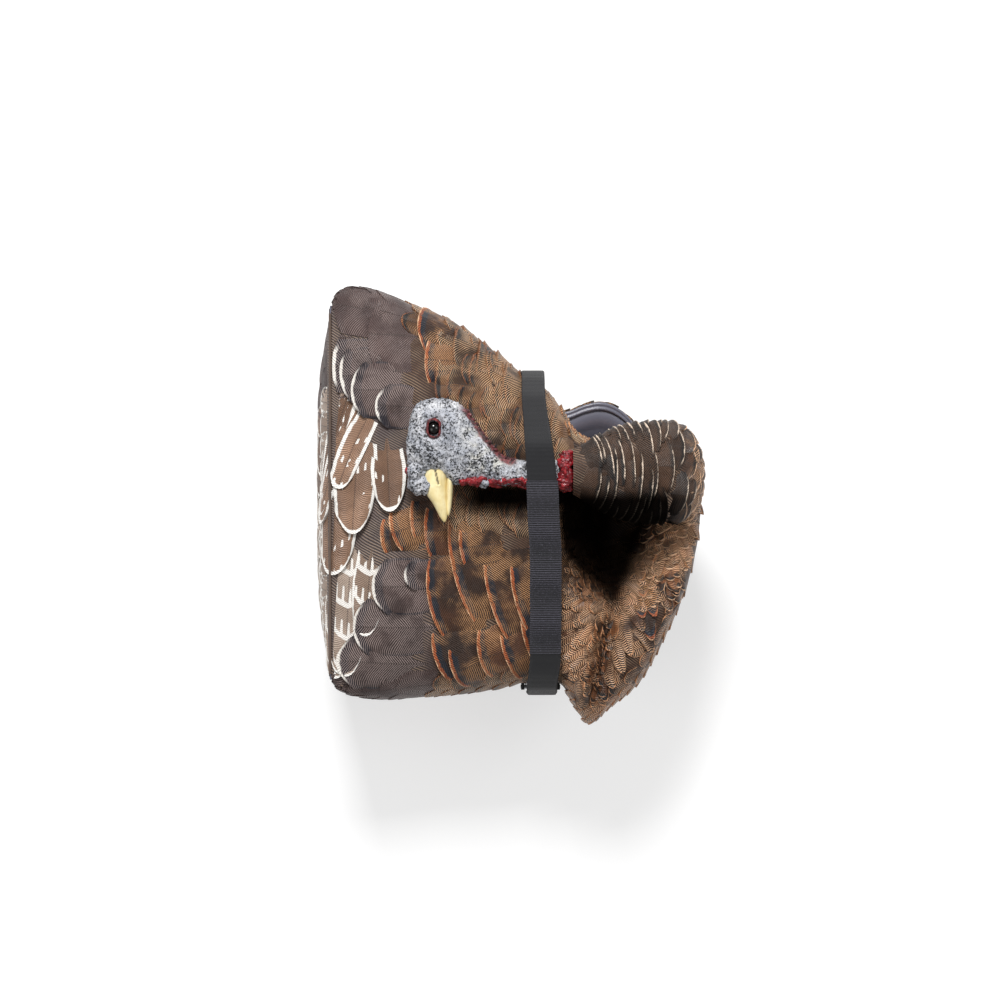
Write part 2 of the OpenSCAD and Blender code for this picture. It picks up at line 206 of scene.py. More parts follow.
def link(name, data):
    obj = bpy.data.objects.new(name, data)
    scene.collection.objects.link(obj)
    return obj


class Soup:
    """Collects quads with their per-corner data, and makes one object of them."""

    def __init__(self):
        self.verts, self.faces, self.mats = [], [], []
        self.lay, self.fea = [], []
        self.count = 0

    def grid(self, points, mat=0, lay=None, fea=None, flip=False, close=False):
        """A rows x columns x 3 array of points as a sheet of quads."""
        points = np.asarray(points, float)
        m, k = points.shape[:2]
        quads = quads_of(m, k, flip, close) + self.count
        self.verts.append(points.reshape(-1, 3))
        self.faces.append(quads)
        self.mats.append(np.full(len(quads), mat))
        self.count += m * k
        for store, data, size in ((self.lay, lay, 2), (self.fea, fea, 4)):
            data = np.zeros((m * k, size)) if data is None else np.asarray(data, float)
            store.append(data.reshape(-1, size))

    def caps(self, tube):
        """Closes both ends of a tube of points."""
        for row, flip in ((0, True), (-1, False)):
            centre = np.repeat(tube[row].mean(0)[None, None], tube.shape[1], 1)
            self.grid(np.concatenate([tube[row][None], centre]), close=True, flip=flip)

    def build(self, name, materials):
        verts = np.concatenate(self.verts) * MM
        faces = np.concatenate(self.faces)
        mesh = bpy.data.meshes.new(name)
        mesh.vertices.add(len(verts))
        mesh.vertices.foreach_set("co", verts.astype(np.float32).ravel())
        mesh.loops.add(faces.size)
        mesh.loops.foreach_set("vertex_index", faces.ravel().astype(np.int32))
        mesh.polygons.add(len(faces))
        mesh.polygons.foreach_set("loop_start", np.arange(0, faces.size, 4, dtype=np.int32))
        mesh.polygons.foreach_set("material_index", np.concatenate(self.mats).astype(np.int32))
        mesh.update(calc_edges=True)
        lay = np.concatenate(self.lay)[faces.ravel()]
        uv = mesh.uv_layers.new(name="lay")
        uv.data.foreach_set("uv", lay.astype(np.float32).ravel())
        fea = mesh.attributes.new("fea", "FLOAT_COLOR", "POINT")
        fea.data.foreach_set("color", np.concatenate(self.fea).astype(np.float32).ravel())
        mesh.validate(clean_customdata=False)
        mesh.shade_smooth()
        for material in materials:
            mesh.materials.append(material)
        return link(name, mesh)


def settle(obj, slot, body, *replaced):
    """Hangs a piece on the body that carries it and hides the CAD nodes it stands for. slot, what the piece
    is made of, is not used.
    """
    if replaced:
        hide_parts(*replaced)
    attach(obj, body)


def settle_bent(obj):
    """For soft rubber that bends between two bodies: only bakes its placement into its mesh."""
    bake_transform(obj)


# ---------- feathers ----------

class Plumage(Soup):
    """Feather plates that are walked out over a skin, so that they follow its curves."""

    SUNK = -0.8  # how deep a feather's base sits in the skin

    def __init__(self, tree, seed, painted_shade=None):
        super().__init__()
        self.tree, self.painted_shade = tree, painted_shade
        self.rand = random.Random(seed)

    def step(self, p, d):
        """The skin's point and normal one step d away from p."""
        loc, nor, _, _ = self.tree.find_nearest(Vector(p) + Vector(d))
        return np.array(loc), np.array(nor)

    def feather(self, at, direction, length, width, lift, mat, rows=8, cols=4, bend=0.0, taper=0.72,
                tip=0.55, lip=0.0, tint=None, waist=0.62, sink=0.42):
        """at is the base's middle on the skin. cols is the number of columns on each side."""
        p, n = self.step(at, (0, 0, 0))
        d = unit(np.asarray(direction, float) - n * np.dot(n, direction))
        tint = self.rand.random() if tint is None else tint
        half = width / 2
        top, lay, fea, normals = [], [], [], []
        us = 1 - (1 - np.linspace(0, 1, rows)) ** 1.6
        vs = np.linspace(-1, 1, 2 * cols + 1)
        vs = np.sign(vs) * (1 - (1 - np.abs(vs)) ** 1.35)
        along = 0.0
        for i, u in enumerate(us):
            if i:
                ds = (u - us[i - 1]) * length
                along += ds
                q, n2 = self.step(p, d * ds)
                d = unit(q - p) if np.linalg.norm(q - p) > 0.2 * ds else d
                d = unit(d - n2 * np.dot(d, n2))
                d = unit(d + np.cross(n2, d) * bend * (u - us[i - 1]))
                p, n = q, n2
            side = np.cross(n, d)
            early = waist + (1 - waist) * min(1, u / 0.45)
            swell = early if u < 0.45 else 1 - (1 - taper) * ((u - 0.45) / 0.55) ** 2
            row = [None] * len(vs)
            row[cols] = (p, n)
            for s in (-1, 1):
                q, m2, e = p, n, side * s
                for c in range(1, cols + 1):
                    k = cols + s * c
                    db = (abs(vs[k]) - abs(vs[k - s])) * half * swell
                    da = -tip * half * (abs(vs[k]) ** 2.3 - abs(vs[k - s]) ** 2.3) * u ** 1.5
                    f = unit(np.cross(e, m2)) * s
                    q, m2 = self.step(q, e * db + f * da)
                    e = unit(e - m2 * np.dot(e, m2))
                    row[k] = (q, m2)
            to_tip = (1 - u) * length
            height = self.SUNK + (lift - self.SUNK) * u ** 1.15
            rim = lip * (math.exp(-((to_tip / 2.6) ** 2)) - 0.5 * math.exp(-(((to_tip - 8) / 4.5) ** 2)))
            camber = 1 - sink * np.abs(vs) ** (2.2 + sink)
            ridge = 0.2 * lift * np.exp(-((vs / 0.07) ** 2)) * (1 - u) ** 0.4
            top.append([q + m * (height * camber[k] + ridge[k] + rim) for k, (q, m) in enumerate(row)])
            lay.append([(along * DATA_UNIT, v * half * swell * DATA_UNIT) for v in vs])
            fea.append([(to_tip * DATA_UNIT, (1 - abs(v)) * half * swell * DATA_UNIT, tint, 0.0) for v in vs])
            normals.append([m for _, m in row])
        top, lay, fea, normals = (np.array(a) for a in (top, lay, fea, normals))
        # the fourth number is painted shade, read from the skin's painted-shade map
        if self.painted_shade is not None:
            fea[..., 3] = np.maximum(fea[..., 3], self.painted_shade(top))
        self.grid(top, mat, lay, fea)

        def loop(a):
            return np.concatenate([a[:, 0], a[-1, 1:-1], a[::-1, -1]])

        ring, ring_n = loop(top), loop(normals)
        centre = top[len(top) // 2, cols]
        inward = ring + (centre - ring) * (0.5 / max(half, 1))
        drop = lift * 0.6 + 0.8 + lip
        self.grid(
            np.stack([ring, inward - ring_n * drop]), mat,
            np.stack([loop(lay)] * 2), np.stack([loop(fea)] * 2),
        )

    def cast(self, x, y, z=400.0, way=-1):
        """The skin's first point up or down from a point, the highest one unless told otherwise."""
        loc, _, _, _ = self.tree.ray_cast(Vector((x, y, z)), Vector((0, 0, way)))
        return None if loc is None else np.array(loc)

    def tipped(self, x, y, heading, length, width, lift, mat, **extra):
        """A feather on the top whose tip is near that plan position. heading is in degrees."""
        a = math.radians(heading)
        d = np.array([math.cos(a), math.sin(a), 0])
        for back in (length, length * 0.75, length * 0.5):
            base = self.cast(x - d[0] * back, y - d[1] * back)
            if base is not None:
                self.feather(base, d, back, width, lift, mat, **extra)
                return

    def rimmed(self, first, middle, last, length, lift, mat, **extra):
        """A feather on the top whose tip edge runs through three plan positions."""
        a, m, b = (np.array(v, float) for v in (first, middle, last))
        along = b - a
        width = float(np.linalg.norm(along))
        normal = np.array([along[1], -along[0]]) / width
        sag = float(np.dot(m - (a + b) / 2, normal))
        if sag < 0:
            normal, sag = -normal, -sag
        heading = math.degrees(math.atan2(normal[1], normal[0]))
        extra.setdefault("tip", max(0.15, 2.2 * sag / width))
        extra.setdefault("taper", 0.97)
        extra.setdefault("waist", 0.85)
        self.tipped(m[0], m[1], heading, length, width, lift, mat, **extra)


# ---------- materials ----------

class Value:
    """A socket of a node graph, so that sums with it can be written as sums."""

    def __init__(self, paint, socket):
        self.paint, self.socket = paint, socket

    def __add__(self, other):
        return self.paint.math("ADD", self, other)

    def __mul__(self, other):
        return self.paint.math("MULTIPLY", self, other)

    def __sub__(self, other):
        return self.paint.math("SUBTRACT", self, other)

    def __rsub__(self, other):
        return self.paint.math("SUBTRACT", other, self)

    def __truediv__(self, other):
        return self.paint.math("DIVIDE", self, other)

    __radd__, __rmul__ = __add__, __mul__


class Paint:
    """Short hand for the node graphs below. Most methods return a Value."""

    def __init__(self, name):
        self.m = bpy.data.materials.new(name)
        self.m.use_nodes = True
        self.nodes, self.links = self.m.node_tree.nodes, self.m.node_tree.links
        self.bsdf = self.nodes["Principled BSDF"]

    def node(self, kind, **settings):
        n = self.nodes.new(kind)
        for key, value in settings.items():
            setattr(n, key, value)
        return n

    def put(self, socket, value):
        """Links a Value to a socket, or sets the socket to a number or a colour."""
        if isinstance(value, Value):
            self.links.new(value.socket, socket)
        elif isinstance(value, (int, float)):
            socket.default_value = value
        else:
            socket.default_value = (*value, 1.0)

    def values(self, *sockets):
        return [Value(self, socket) for socket in sockets]

    def math(self, op, a, b=0.0):
        n = self.node("ShaderNodeMath", operation=op)
        self.put(n.inputs[0], a)
        self.put(n.inputs[1], b)
        return Value(self, n.outputs[0])

    def step(self, a, low, high):
        """0 where a is under low, 1 over high, smooth between. Works downwards too."""
        n = self.node("ShaderNodeMapRange", interpolation_type="SMOOTHSTEP")
        self.put(n.inputs["Value"], a)
        self.put(n.inputs["From Min"], low)
        self.put(n.inputs["From Max"], high)
        return Value(self, n.outputs[0])

    def mix(self, fac, a, b):
        n = self.node("ShaderNodeMix", data_type="RGBA")
        self.put(n.inputs[0], fac)
        self.put(n.inputs[6], a)
        self.put(n.inputs[7], b)
        return Value(self, n.outputs[2])

    def noise(self, vector, scale, detail=3.0, rough=0.55):
        n = self.node("ShaderNodeTexNoise")
        self.put(n.inputs["Vector"], vector)
        self.put(n.inputs["Scale"], scale)
        self.put(n.inputs["Detail"], detail)
        self.put(n.inputs["Roughness"], rough)
        return Value(self, n.outputs[0])

    def place(self):
        return Value(self, self.node("ShaderNodeTexCoord").outputs["Object"])

    def split(self, vector):
        n = self.node("ShaderNodeSeparateXYZ")
        self.put(n.inputs[0], vector)
        return self.values(*n.outputs)

    def lay(self):
        """Millimetres along and across a feather."""
        uv = self.node("ShaderNodeUVMap", uv_map="lay")
        along, across, _ = self.split(Value(self, uv.outputs[0]))
        return along * (1 / DATA_UNIT), across * (1 / DATA_UNIT)

    def fea(self):
        """The four numbers of a mesh's own data. The fourth is painted shade: how black the paint is."""
        a = self.node("ShaderNodeAttribute", attribute_name="fea")
        n = self.node("ShaderNodeSeparateColor")
        self.links.new(a.outputs["Color"], n.inputs[0])
        return self.values(*n.outputs, a.outputs["Alpha"])

    def bump(self, height, strength, distance, normal=None):
        n = self.node("ShaderNodeBump")
        self.put(n.inputs["Strength"], strength)
        self.put(n.inputs["Distance"], distance)
        self.put(n.inputs["Height"], height)
        if normal is not None:
            self.put(n.inputs["Normal"], normal)
        return Value(self, n.outputs[0])

    def finish(self, color, rough, normal=None, specular=0.5, **extra):
        inputs = self.bsdf.inputs
        self.put(inputs["Base Color"], color)
        self.put(inputs["Roughness"], rough)
        self.put(inputs["Specular IOR Level"], specular)
        if normal is not None:
            self.put(inputs["Normal"], normal)
        for key, value in extra.items():
            self.put(inputs[key.replace("_", " ")], value)
        return self.m


def srgb(r, g, b):
    """A colour from 0-255 screen values to linear light."""
    def one(c):
        c = c / 255
        return c / 12.92 if c <= 0.04045 else ((c + 0.055) / 1.055) ** 2.4
    return (one(r), one(g), one(b))


def barbs(p, pitch):
    """Fine ridges that run out from the shaft towards the tip: 0 in a groove, 1 on a ridge."""
    slant, wobble = 0.9, 0.5
    along, across = p.lay()
    side = p.math("ABSOLUTE", across)
    drift = p.noise(p.place(), 42.0, 2.0) * (wobble * pitch * 5)
    line = along - side * slant
    phase = (line + drift) / pitch
    wave = p.math("SINE", phase * (2 * math.pi))
    return wave * 0.5 + 0.5


def feather_paint(name, vane_a, vane_b, barb_light, rim=None, rim_mm=5.0, band=None, band_mm=4.5,
                  edge=None, edge_mm=1.2, edge_fade=0.0, bars=None, barb_mm=1.9, barb_mix=0.4,
                  side_rim=0.6, rough=0.5, worn=(0.42, 0.7), ragged_mm=2.2):
    """Paint for one kind of feather. rim, band and edge are bands inwards from the outline.
    bars are colour, pitch and width along the feather, and how ragged they are. worn is the
    range of noise over which the barbs' light shows."""
    p = Paint(name)
    along, across = p.lay()
    tip, side, tint, shade = p.fea()
    tip, side = tip * (1 / DATA_UNIT), side * (1 / DATA_UNIT)
    place = p.place()
    ridge = barbs(p, barb_mm)
    # the distance to the outline, with the sides counting for less than the tip
    outline = p.math("MINIMUM", tip, side / side_rim)
    blotch = p.noise(place, 55.0, 4.0)
    fray = p.noise(place, 130.0, 4.0) - 0.5
    outline = outline + fray * (ragged_mm * 2)
    cloud = p.noise(place, 28.0, 3.0)
    mixed = tint * 0.5 + cloud * 0.9
    color = p.mix(p.step(mixed, 0.4, 0.95), vane_a, vane_b)
    if band:
        inner = rim_mm + band_mm if rim else band_mm
        color = p.mix(p.step(outline, inner + 1.4, inner - 0.8), color, band)
    if rim:
        rim_tone = p.mix(p.step(blotch, 0.3, 0.7), [c * 0.6 for c in rim], rim)
        color = p.mix(p.step(outline, rim_mm + 0.5, rim_mm - 0.5), color, rim_tone)
    # dry-brushed light on the barbs' crests, and dark grooves between them
    patch = p.step(p.noise(place, 34.0, 4.0), worn[0], worn[1])
    crest = p.step(ridge, 0.62, 0.98) * (patch * barb_mix)
    color = p.mix(crest, color, barb_light)
    groove = p.step(ridge, 0.5, 0.05) * 0.6
    color = p.mix(groove, color, (0.012, 0.009, 0.008))
    shaft = p.step(p.math("ABSOLUTE", across), 0.9, 0.35) * 0.4
    color = p.mix(shaft, color, (0.03, 0.02, 0.016))
    if bars:
        tone, pitch, width, ragged = bars
        comb = p.math("SINE", across * (2 * math.pi / 6.5))
        comb = p.step(comb, 0.2, 0.8) * ragged
        comb = comb * p.step(p.noise(place, 60.0, 2.0), 0.4, 0.6)
        line = along + p.math("ABSOLUTE", across) * 0.35
        line = line + p.noise(place, 70.0, 3.0) * 5.0
        wave = p.math("FRACT", line / -pitch)
        limit = comb + width
        bar = p.step(wave - limit, 0.03, -0.03)
        color = p.mix(bar * 0.92, color, tone)
    if edge:
        thin = p.step(outline, edge_mm + 0.6, edge_mm - 0.5)
        if edge_fade:
            thin = thin * p.step(side, edge_fade * 0.3, edge_fade)
        thin = thin * p.step(p.noise(place, 60.0, 3.0), 0.2, 0.36)
        color = p.mix(thin, color, edge)
    # painted shade: the fourth number blackens the colour and dulls the shine
    color = p.mix(shade, color, SHADE_BLACK)
    normal = p.bump(ridge, 0.8, 0.0006)
    normal = p.bump(p.noise(place, 420.0, 2.0), 0.15, 0.0004, normal)
    wear = rough + (blotch - 0.5) * 0.25
    return p.finish(color, wear, normal, (1.0 - shade) * 0.42)


def rubber_paint(name, color, rough, grain):
    p = Paint(name)
    place = p.place()
    cloud = p.noise(place, 9.0, 4.0)
    tone = p.mix(cloud, [c * 0.75 for c in color], [c * 1.35 for c in color])
    wear = rough - 0.08 + p.noise(place, 24.0, 3.0) * 0.16
    normal = p.bump(p.noise(place, 700.0, 2.0), grain, 0.0003)
    return p.finish(tone, wear, normal)


def plain_paint(name, color, rough, metallic=0.0):
    p = Paint(name)
    place = p.place()
    tone = p.mix(p.noise(place, 40.0, 3.0), [c * 0.85 for c in color], [c * 1.15 for c in color])
    wear = rough - 0.05 + p.noise(place, 90.0, 3.0) * 0.1
    normal = p.bump(p.noise(place, 600.0, 2.0), 0.1, 0.0002)
    return p.finish(tone, wear, normal, Metallic=metallic)


ORANGE = srgb(178, 92, 50)
BLUE_BLACK = srgb(34, 37, 46)
PALE = srgb(228, 222, 214)
WHITE = srgb(240, 236, 230)
# the black of painted shade
SHADE_BLACK = (0.0012, 0.0009, 0.0008)


def skin_feather_paint():
    """The moulded skin under the feathers: its colours follow the feather tracts."""
    p = Paint("skin_moulded")
    place = p.place()
    x, y, _ = p.split(place)
    shade = p.fea()[3]
    drift = p.noise(place, 16.0, 2.0) * 0.016
    line = x * 0.5 + y * 0.86 + drift
    wave = p.math("SINE", line * (2 * math.pi / 0.0021))
    ridge = wave * 0.5 + 0.5
    cloud = p.noise(place, 28.0, 3.0)
    grey = p.mix(cloud, srgb(62, 50, 47), srgb(94, 77, 73))
    brown = p.mix(cloud, srgb(44, 30, 22), srgb(86, 56, 36))
    edge_x = x + cloud * 0.02
    edge_x = edge_x - p.step(y, -0.03, -0.07) * 0.026
    color = p.mix(p.step(edge_x, -0.088, -0.078), grey, brown)
    crest = p.step(ridge, 0.62, 0.98) * p.step(p.noise(place, 34.0, 4.0), 0.36, 0.6)
    color = p.mix(crest * 0.5, color, srgb(170, 146, 122))
    color = p.mix(p.step(ridge, 0.5, 0.05) * 0.6, color, (0.01, 0.008, 0.007))
    # painted shade: the fourth number blackens the colour and dulls the shine
    color = p.mix(shade, color, SHADE_BLACK)
    normal = p.bump(ridge, 0.7, 0.0006)
    return p.finish(color, 0.55, normal, (1.0 - shade) * 0.4)


skin_paint = skin_feather_paint()
inside_paint = rubber_paint("inside_satin", srgb(98, 98, 110), 0.32, 0.10)
# places in the list of feather paints
COVERT, WING, PLAIN, PRIMARY, BARRED, BRONZE, NECKF, TAILF, SCALE, GOLD, DULL = range(1, 12)
feather_paints = [
    skin_paint,
    feather_paint("feather_covert", srgb(94, 57, 35), srgb(50, 32, 22), rim=ORANGE, rim_mm=3.0,
                  band=BLUE_BLACK, band_mm=4.8, edge=srgb(222, 178, 140), edge_mm=0.3,
                  barb_light=srgb(210, 156, 106), barb_mix=0.9, side_rim=0.16, barb_mm=2.1, worn=(0.42, 0.6)),
    # the wing feathers' dark band inside the pale edge is painted shade in the dip behind each raised tip
    feather_paint("feather_wing", srgb(90, 72, 69), srgb(62, 49, 47), band=srgb(36, 33, 41), band_mm=9.0,
                  edge=PALE, edge_mm=2.2, edge_fade=12.0, barb_light=srgb(180, 160, 154), barb_mix=0.7,
                  side_rim=0.2, barb_mm=2.1, worn=(0.34, 0.55)),
    feather_paint("feather_plain", srgb(86, 67, 64), srgb(68, 52, 50), barb_light=srgb(168, 148, 142),
                  barb_mix=0.62, side_rim=0.2, barb_mm=2.1, worn=(0.38, 0.62)),
    feather_paint("feather_primary", srgb(180, 142, 116), srgb(136, 103, 81), edge=WHITE, edge_mm=3.5,
                  barb_light=srgb(70, 48, 36), barb_mix=0.8, side_rim=0.9, barb_mm=2.0, worn=(0.3, 0.5),
                  bars=(WHITE, 22.0, -0.2, 0.5), ragged_mm=1.3),
    feather_paint("feather_barred", srgb(204, 184, 168), srgb(164, 140, 122), edge=WHITE, edge_mm=2.0,
                  bars=(WHITE, 29.0, 0.17, 0.42), barb_light=srgb(100, 76, 62), barb_mix=0.75, side_rim=0.9,
                  barb_mm=2.0, worn=(0.36, 0.56)),
    feather_paint("feather_bronze", srgb(136, 86, 52), srgb(60, 39, 27), band=srgb(18, 13, 11), band_mm=3.0,
                  edge=srgb(206, 150, 110), edge_mm=0.4, barb_mm=2.0, barb_light=srgb(244, 194, 152),
                  barb_mix=1.0, rough=0.4, worn=(0.36, 0.54)),
    feather_paint("feather_neck", srgb(70, 48, 34), srgb(38, 26, 19), edge=srgb(216, 196, 176), edge_mm=0.6,
                  edge_fade=9.0, barb_mm=2.0, barb_light=srgb(116, 84, 60), barb_mix=0.6, side_rim=0.1,
                  worn=(0.38, 0.6), band=srgb(22, 16, 14), band_mm=2.8),
    feather_paint("feather_tail", srgb(120, 92, 66), srgb(92, 68, 50), rim=srgb(172, 132, 92), rim_mm=9.0,
                  band=srgb(30, 27, 27), band_mm=20.0, bars=(srgb(46, 35, 28), 9.0, 0.3, 0.0),
                  barb_light=srgb(190, 165, 135), side_rim=6.0),
    feather_paint("feather_scale", srgb(112, 72, 45), srgb(54, 36, 26), band=srgb(18, 14, 12), band_mm=2.8,
                  edge=srgb(222, 178, 142), edge_mm=0.6, barb_mm=1.9, barb_light=srgb(232, 182, 138),
                  barb_mix=0.95, rough=0.4, worn=(0.4, 0.58)),
    feather_paint("feather_gold", srgb(150, 114, 78), srgb(98, 72, 50), rim=srgb(156, 98, 56), rim_mm=1.0,
                  band=srgb(28, 21, 18), band_mm=2.8, barb_light=srgb(230, 204, 168), barb_mix=0.95,
                  side_rim=0.2, barb_mm=2.0, worn=(0.36, 0.56)),
    feather_paint("feather_dull", srgb(118, 81, 51), srgb(64, 44, 30), rim=srgb(140, 82, 46), rim_mm=1.5,
                  band=srgb(26, 21, 20), band_mm=3.2, barb_light=srgb(226, 184, 142), barb_mix=0.9,
                  side_rim=0.16, barb_mm=2.1, worn=(0.38, 0.58)),
]


# ---------- shells ----------

def loop_of(a):
    return np.concatenate([a[:-1, 0], a[-1, :-1], a[:0:-1, -1], a[0, :0:-1]])


def closed_shell(name, outer, inner, flip, bead=1.3, groove=0.0, painted_shade=None):
    """Outer sheet of moulded skin, smooth inner sheet and the rounded rim between them."""
    s = Soup()
    fea = np.zeros(outer.shape[:2] + (4,))
    # the outer sheet's fourth number is painted shade
    if painted_shade is not None:
        fea[..., 3] = painted_shade(outer)
    s.grid(outer, fea=fea, flip=flip)
    s.grid(inner, 1, flip=not flip)
    o, i = loop_of(outer), loop_of(inner)
    out_dir = np.cross(o - i, np.roll(o, -1, 0) - np.roll(o, 1, 0))
    out_dir /= np.maximum(np.linalg.norm(out_dir, axis=1), 1e-6)[:, None]
    middle = (outer.reshape(-1, 3).mean(0) + inner.reshape(-1, 3).mean(0)) / 2
    if np.mean(np.einsum("ij,ij->i", out_dir, (o + i) / 2 - middle)) < 0:
        out_dir = -out_dir
    rows = []
    for a in np.linspace(0, math.pi, 13):
        rise = math.sin(a) * bead - groove * math.exp(-(((a - math.pi / 2) / 0.3) ** 2))
        rows.append(o + (i - o) * (1 - math.cos(a)) / 2 + out_dir * rise)
    s.grid(np.stack(rows), 1, flip=not flip, close=True)
    return s.build(name, [skin_paint, inside_paint])


def slab(name, points, back, paint):
    """A closed thin sheet between a grid of points and the same grid moved by back."""
    s = Soup()
    under = points + np.asarray(back, float)
    s.grid(points)
    s.grid(under, flip=True)
    s.grid(np.stack([loop_of(points), loop_of(under)]), flip=True, close=True)
    return s.build(name, [paint])


def spread(start, end, count):
    """Numbers from start to end that lie closer together towards the end."""
    return start + (end - start) * (1 - (1 - np.linspace(0, 1, count)) ** 1.5)


p_line = np.linspace(-1, 1, 121)[None, :]
front_outer = front_point(spread(FOLD_X + FOLD_GAP, FRONT_END_X - 0.5, 150)[:, None], p_line)
front_inner = front_point(
    spread(FOLD_X + FOLD_GAP + WALL, FRONT_END_X - 0.5 - WALL, 150)[:, None], p_line, WALL)
front_tree = tree_of(front_outer, flip=True)


def front_painted_shade(points):
    """Painted shade, given as how black the paint is: in the hollow beside the neck, and a painted shadow of
    the head and neck on the seat below the head.
    """
    x, y = points[..., 0], points[..., 1]
    # a soft step across each border of the two places
    left = smooth((x - 36) / 14)
    below = smooth((y + 70 + (x - 53) * 0.95) / 30)
    right = smooth((150 - 0.38 * (4 - y) - x) / 24)
    # painted shade that fills the hollow beside the neck
    hollow = left * below * right * smooth((26 - y) / 12)
    # painted shadow of the head and neck on the seat below the head
    seat = smooth((x + 52) / 26) * smooth((y + 12) / 16) * smooth((26 - y) / 12) * smooth((150 - x) / 20)
    on_top_side = smooth((points[..., 2] - 106) / 20)
    return np.clip(np.maximum(hollow * 0.985, seat * 0.98), 0, 1) * on_top_side


front_skin = closed_shell("front_skin", front_outer, front_inner, True, painted_shade=front_painted_shade)
settle(front_skin, RUBBER, "front", "front_shell")

spine_z = np.linspace(LOWER_FOLD_Z + FOLD_GAP, UPPER_FOLD_Z - FOLD_GAP, 70)[:, None]
spine_inner_z = np.linspace(LOWER_FOLD_Z + FOLD_GAP + 2.4, UPPER_FOLD_Z - FOLD_GAP - 2.4, 70)[:, None]
spine_outer = spine_point(spine_z, p_line)
spine_inner = spine_point(spine_inner_z, p_line, WALL)
spine_tree = tree_of(spine_outer, flip=True)
spine_skin = closed_shell("spine_skin", spine_outer, spine_inner, True)
settle(spine_skin, RUBBER, "spine", "spine_panel")

tail_wall = WALL * (1 + 0.9 * np.exp(-(((1 - np.abs(p_line)) / 0.05) ** 2)))
tail_outer = tail_point(spread(FOLD_X + FOLD_GAP, TAIL_END_X - 0.5, 120)[:, None], p_line)
tail_inner = tail_point(
    spread(FOLD_X + FOLD_GAP + WALL, TAIL_END_X - 0.5 - 1.6 * WALL, 120)[:, None], p_line, tail_wall)
tail_tree = tree_of(tail_outer)
tail_skin = closed_shell("tail_skin", tail_outer, tail_inner, False, bead=2.0, groove=1.6)
settle(tail_skin, RUBBER, "tail", "tail_shell")

# the rolled inner edge of the tail half, seen beside the strap's far end
liner_x = np.linspace(34, 117.5, 60)[:, None]
liner_t = np.linspace(0, 1, 40)[None, :]
liner_y = curve_y(TAIL_UPPER_EDGE, liner_x) - 5.5 - 46 * liner_t
liner_y = np.maximum(liner_y, curve_y(TAIL_LOWER_EDGE, liner_x) + 8)
liner_z = 90.6 + 1.8 * np.sin(math.pi * np.minimum(1, liner_t * 2.4)) - 30 * liner_t ** 2.1
liner = np.stack(np.broadcast_arrays(liner_x, liner_y, liner_z), -1)[:, ::-1]
settle(slab("tail_rolled_edge", liner, (0, 0, -1.6), inside_paint), RUBBER, "tail")


# ---------- feathers of the front half ----------

front = Plumage(front_tree, 3, front_painted_shade)
SEAM = 56  # columns of the sheet below that lie on the back

# one sheet over the back's left end, the crease and the spine panel below it
wide_p = np.linspace(-0.985, 0.985, 200)[:, None]
over_front = front_point(np.linspace(-20, -155, SEAM)[None, :], wide_p)
over_spine = spine_point(np.linspace(158, 44, 40)[None, :], wide_p)
over_sheet = np.concatenate([over_front, over_spine], 1)
a, b = SEAM - 5, SEAM + 5
for _ in range(4):
    over_sheet[:, a:b] = (
        over_sheet[:, a - 1:b - 1] + 2 * over_sheet[:, a:b] + over_sheet[:, a + 1:b + 1]) / 4
near = np.exp(-((np.arange(over_sheet.shape[1]) - SEAM) / 9.0) ** 2)[None, :, None]
over_sheet = over_sheet + near * np.array([-1.5, 0, 1.5])
over_tree = tree_of(over_sheet)
if over_tree.find_nearest(Vector((-120, 0, 260)))[1].z < 0:
    over_tree = tree_of(over_sheet, flip=True)
over = Plumage(over_tree, 17)

# Each wing feather: three points of its tip edge, length, lift, kind.
WING_TIPS = [
    ((-150, 188), (-157, 163), (-151, 137), 96, 1.6, PLAIN),
    ((-118, 186), (-126, 150), (-118, 118), 60, 1.8, PLAIN),
    ((-153, 150), (-157, 126), (-154, 101), 52, 2.4, WING),
    ((-146, 139), (-151, 116), (-142, 90), 64, 3.4, WING),
    ((-130, 127), (-141, 104), (-131, 76), 56, 4.4, WING),
    ((-107, 108), (-118, 90), (-110, 68), 38, 5.2, WING),
    ((-138, -114), (-153, -138), (-140, -166), 84, 4.0, WING),
    ((-127, -82), (-139, -108), (-127, -134), 76, 4.8, WING),
    ((-110, -47), (-121, -72), (-109, -98), 60, 5.4, WING),
    ((-87, -51), (-93, -62), (-85, -78), 34, 6.0, WING),
]
for first, middle, last, length, lift, mat in WING_TIPS:
    owner = over if middle[0] < -135 else front
    owner.rimmed(first, middle, last, length, lift, mat, lip=1.0, rows=14, cols=7, sink=0.62)

# Long wing quills: base x, base y, heading, length, width, lift, bend, kind. Some run over the crease.
QUILLS = [
    (-147, 120, -107, 122, 24, 1.6, 0.0, PRIMARY), (-139, 112, -109, 126, 23, 2.5, 0.0, PRIMARY),
    (-128, 100, -117, 126, 22, 3.3, 0.1, PRIMARY), (-150, 66, -95, 128, 46, 2.6, 0.05, PRIMARY),
    (-118, 92, -123, 84, 24, 4.0, 0.3, PRIMARY), (-155, -36, -91, 118, 30, 2.4, 0.0, BARRED),
    (-141, -36, -93, 116, 34, 3.0, 0.0, BARRED), (-122, -36, -95, 80, 30, 3.4, 0.0, BARRED),
    (-134, 70, -93, 95, 40, 5.0, 0.0, PRIMARY), (-109, 60, -86, 65, 32, 5.6, 0.0, PRIMARY),
]
for y in np.arange(-142, 160, 21.0):
    mat = BARRED if y < 96 else PLAIN
    base = over.cast(-141, y + over.rand.uniform(-3, 3))
    over.feather(base, (-1, 0.1, 0), 47, 31, 1.3, mat, tip=0.8, lip=0.4, taper=0.85, rows=14, cols=5)
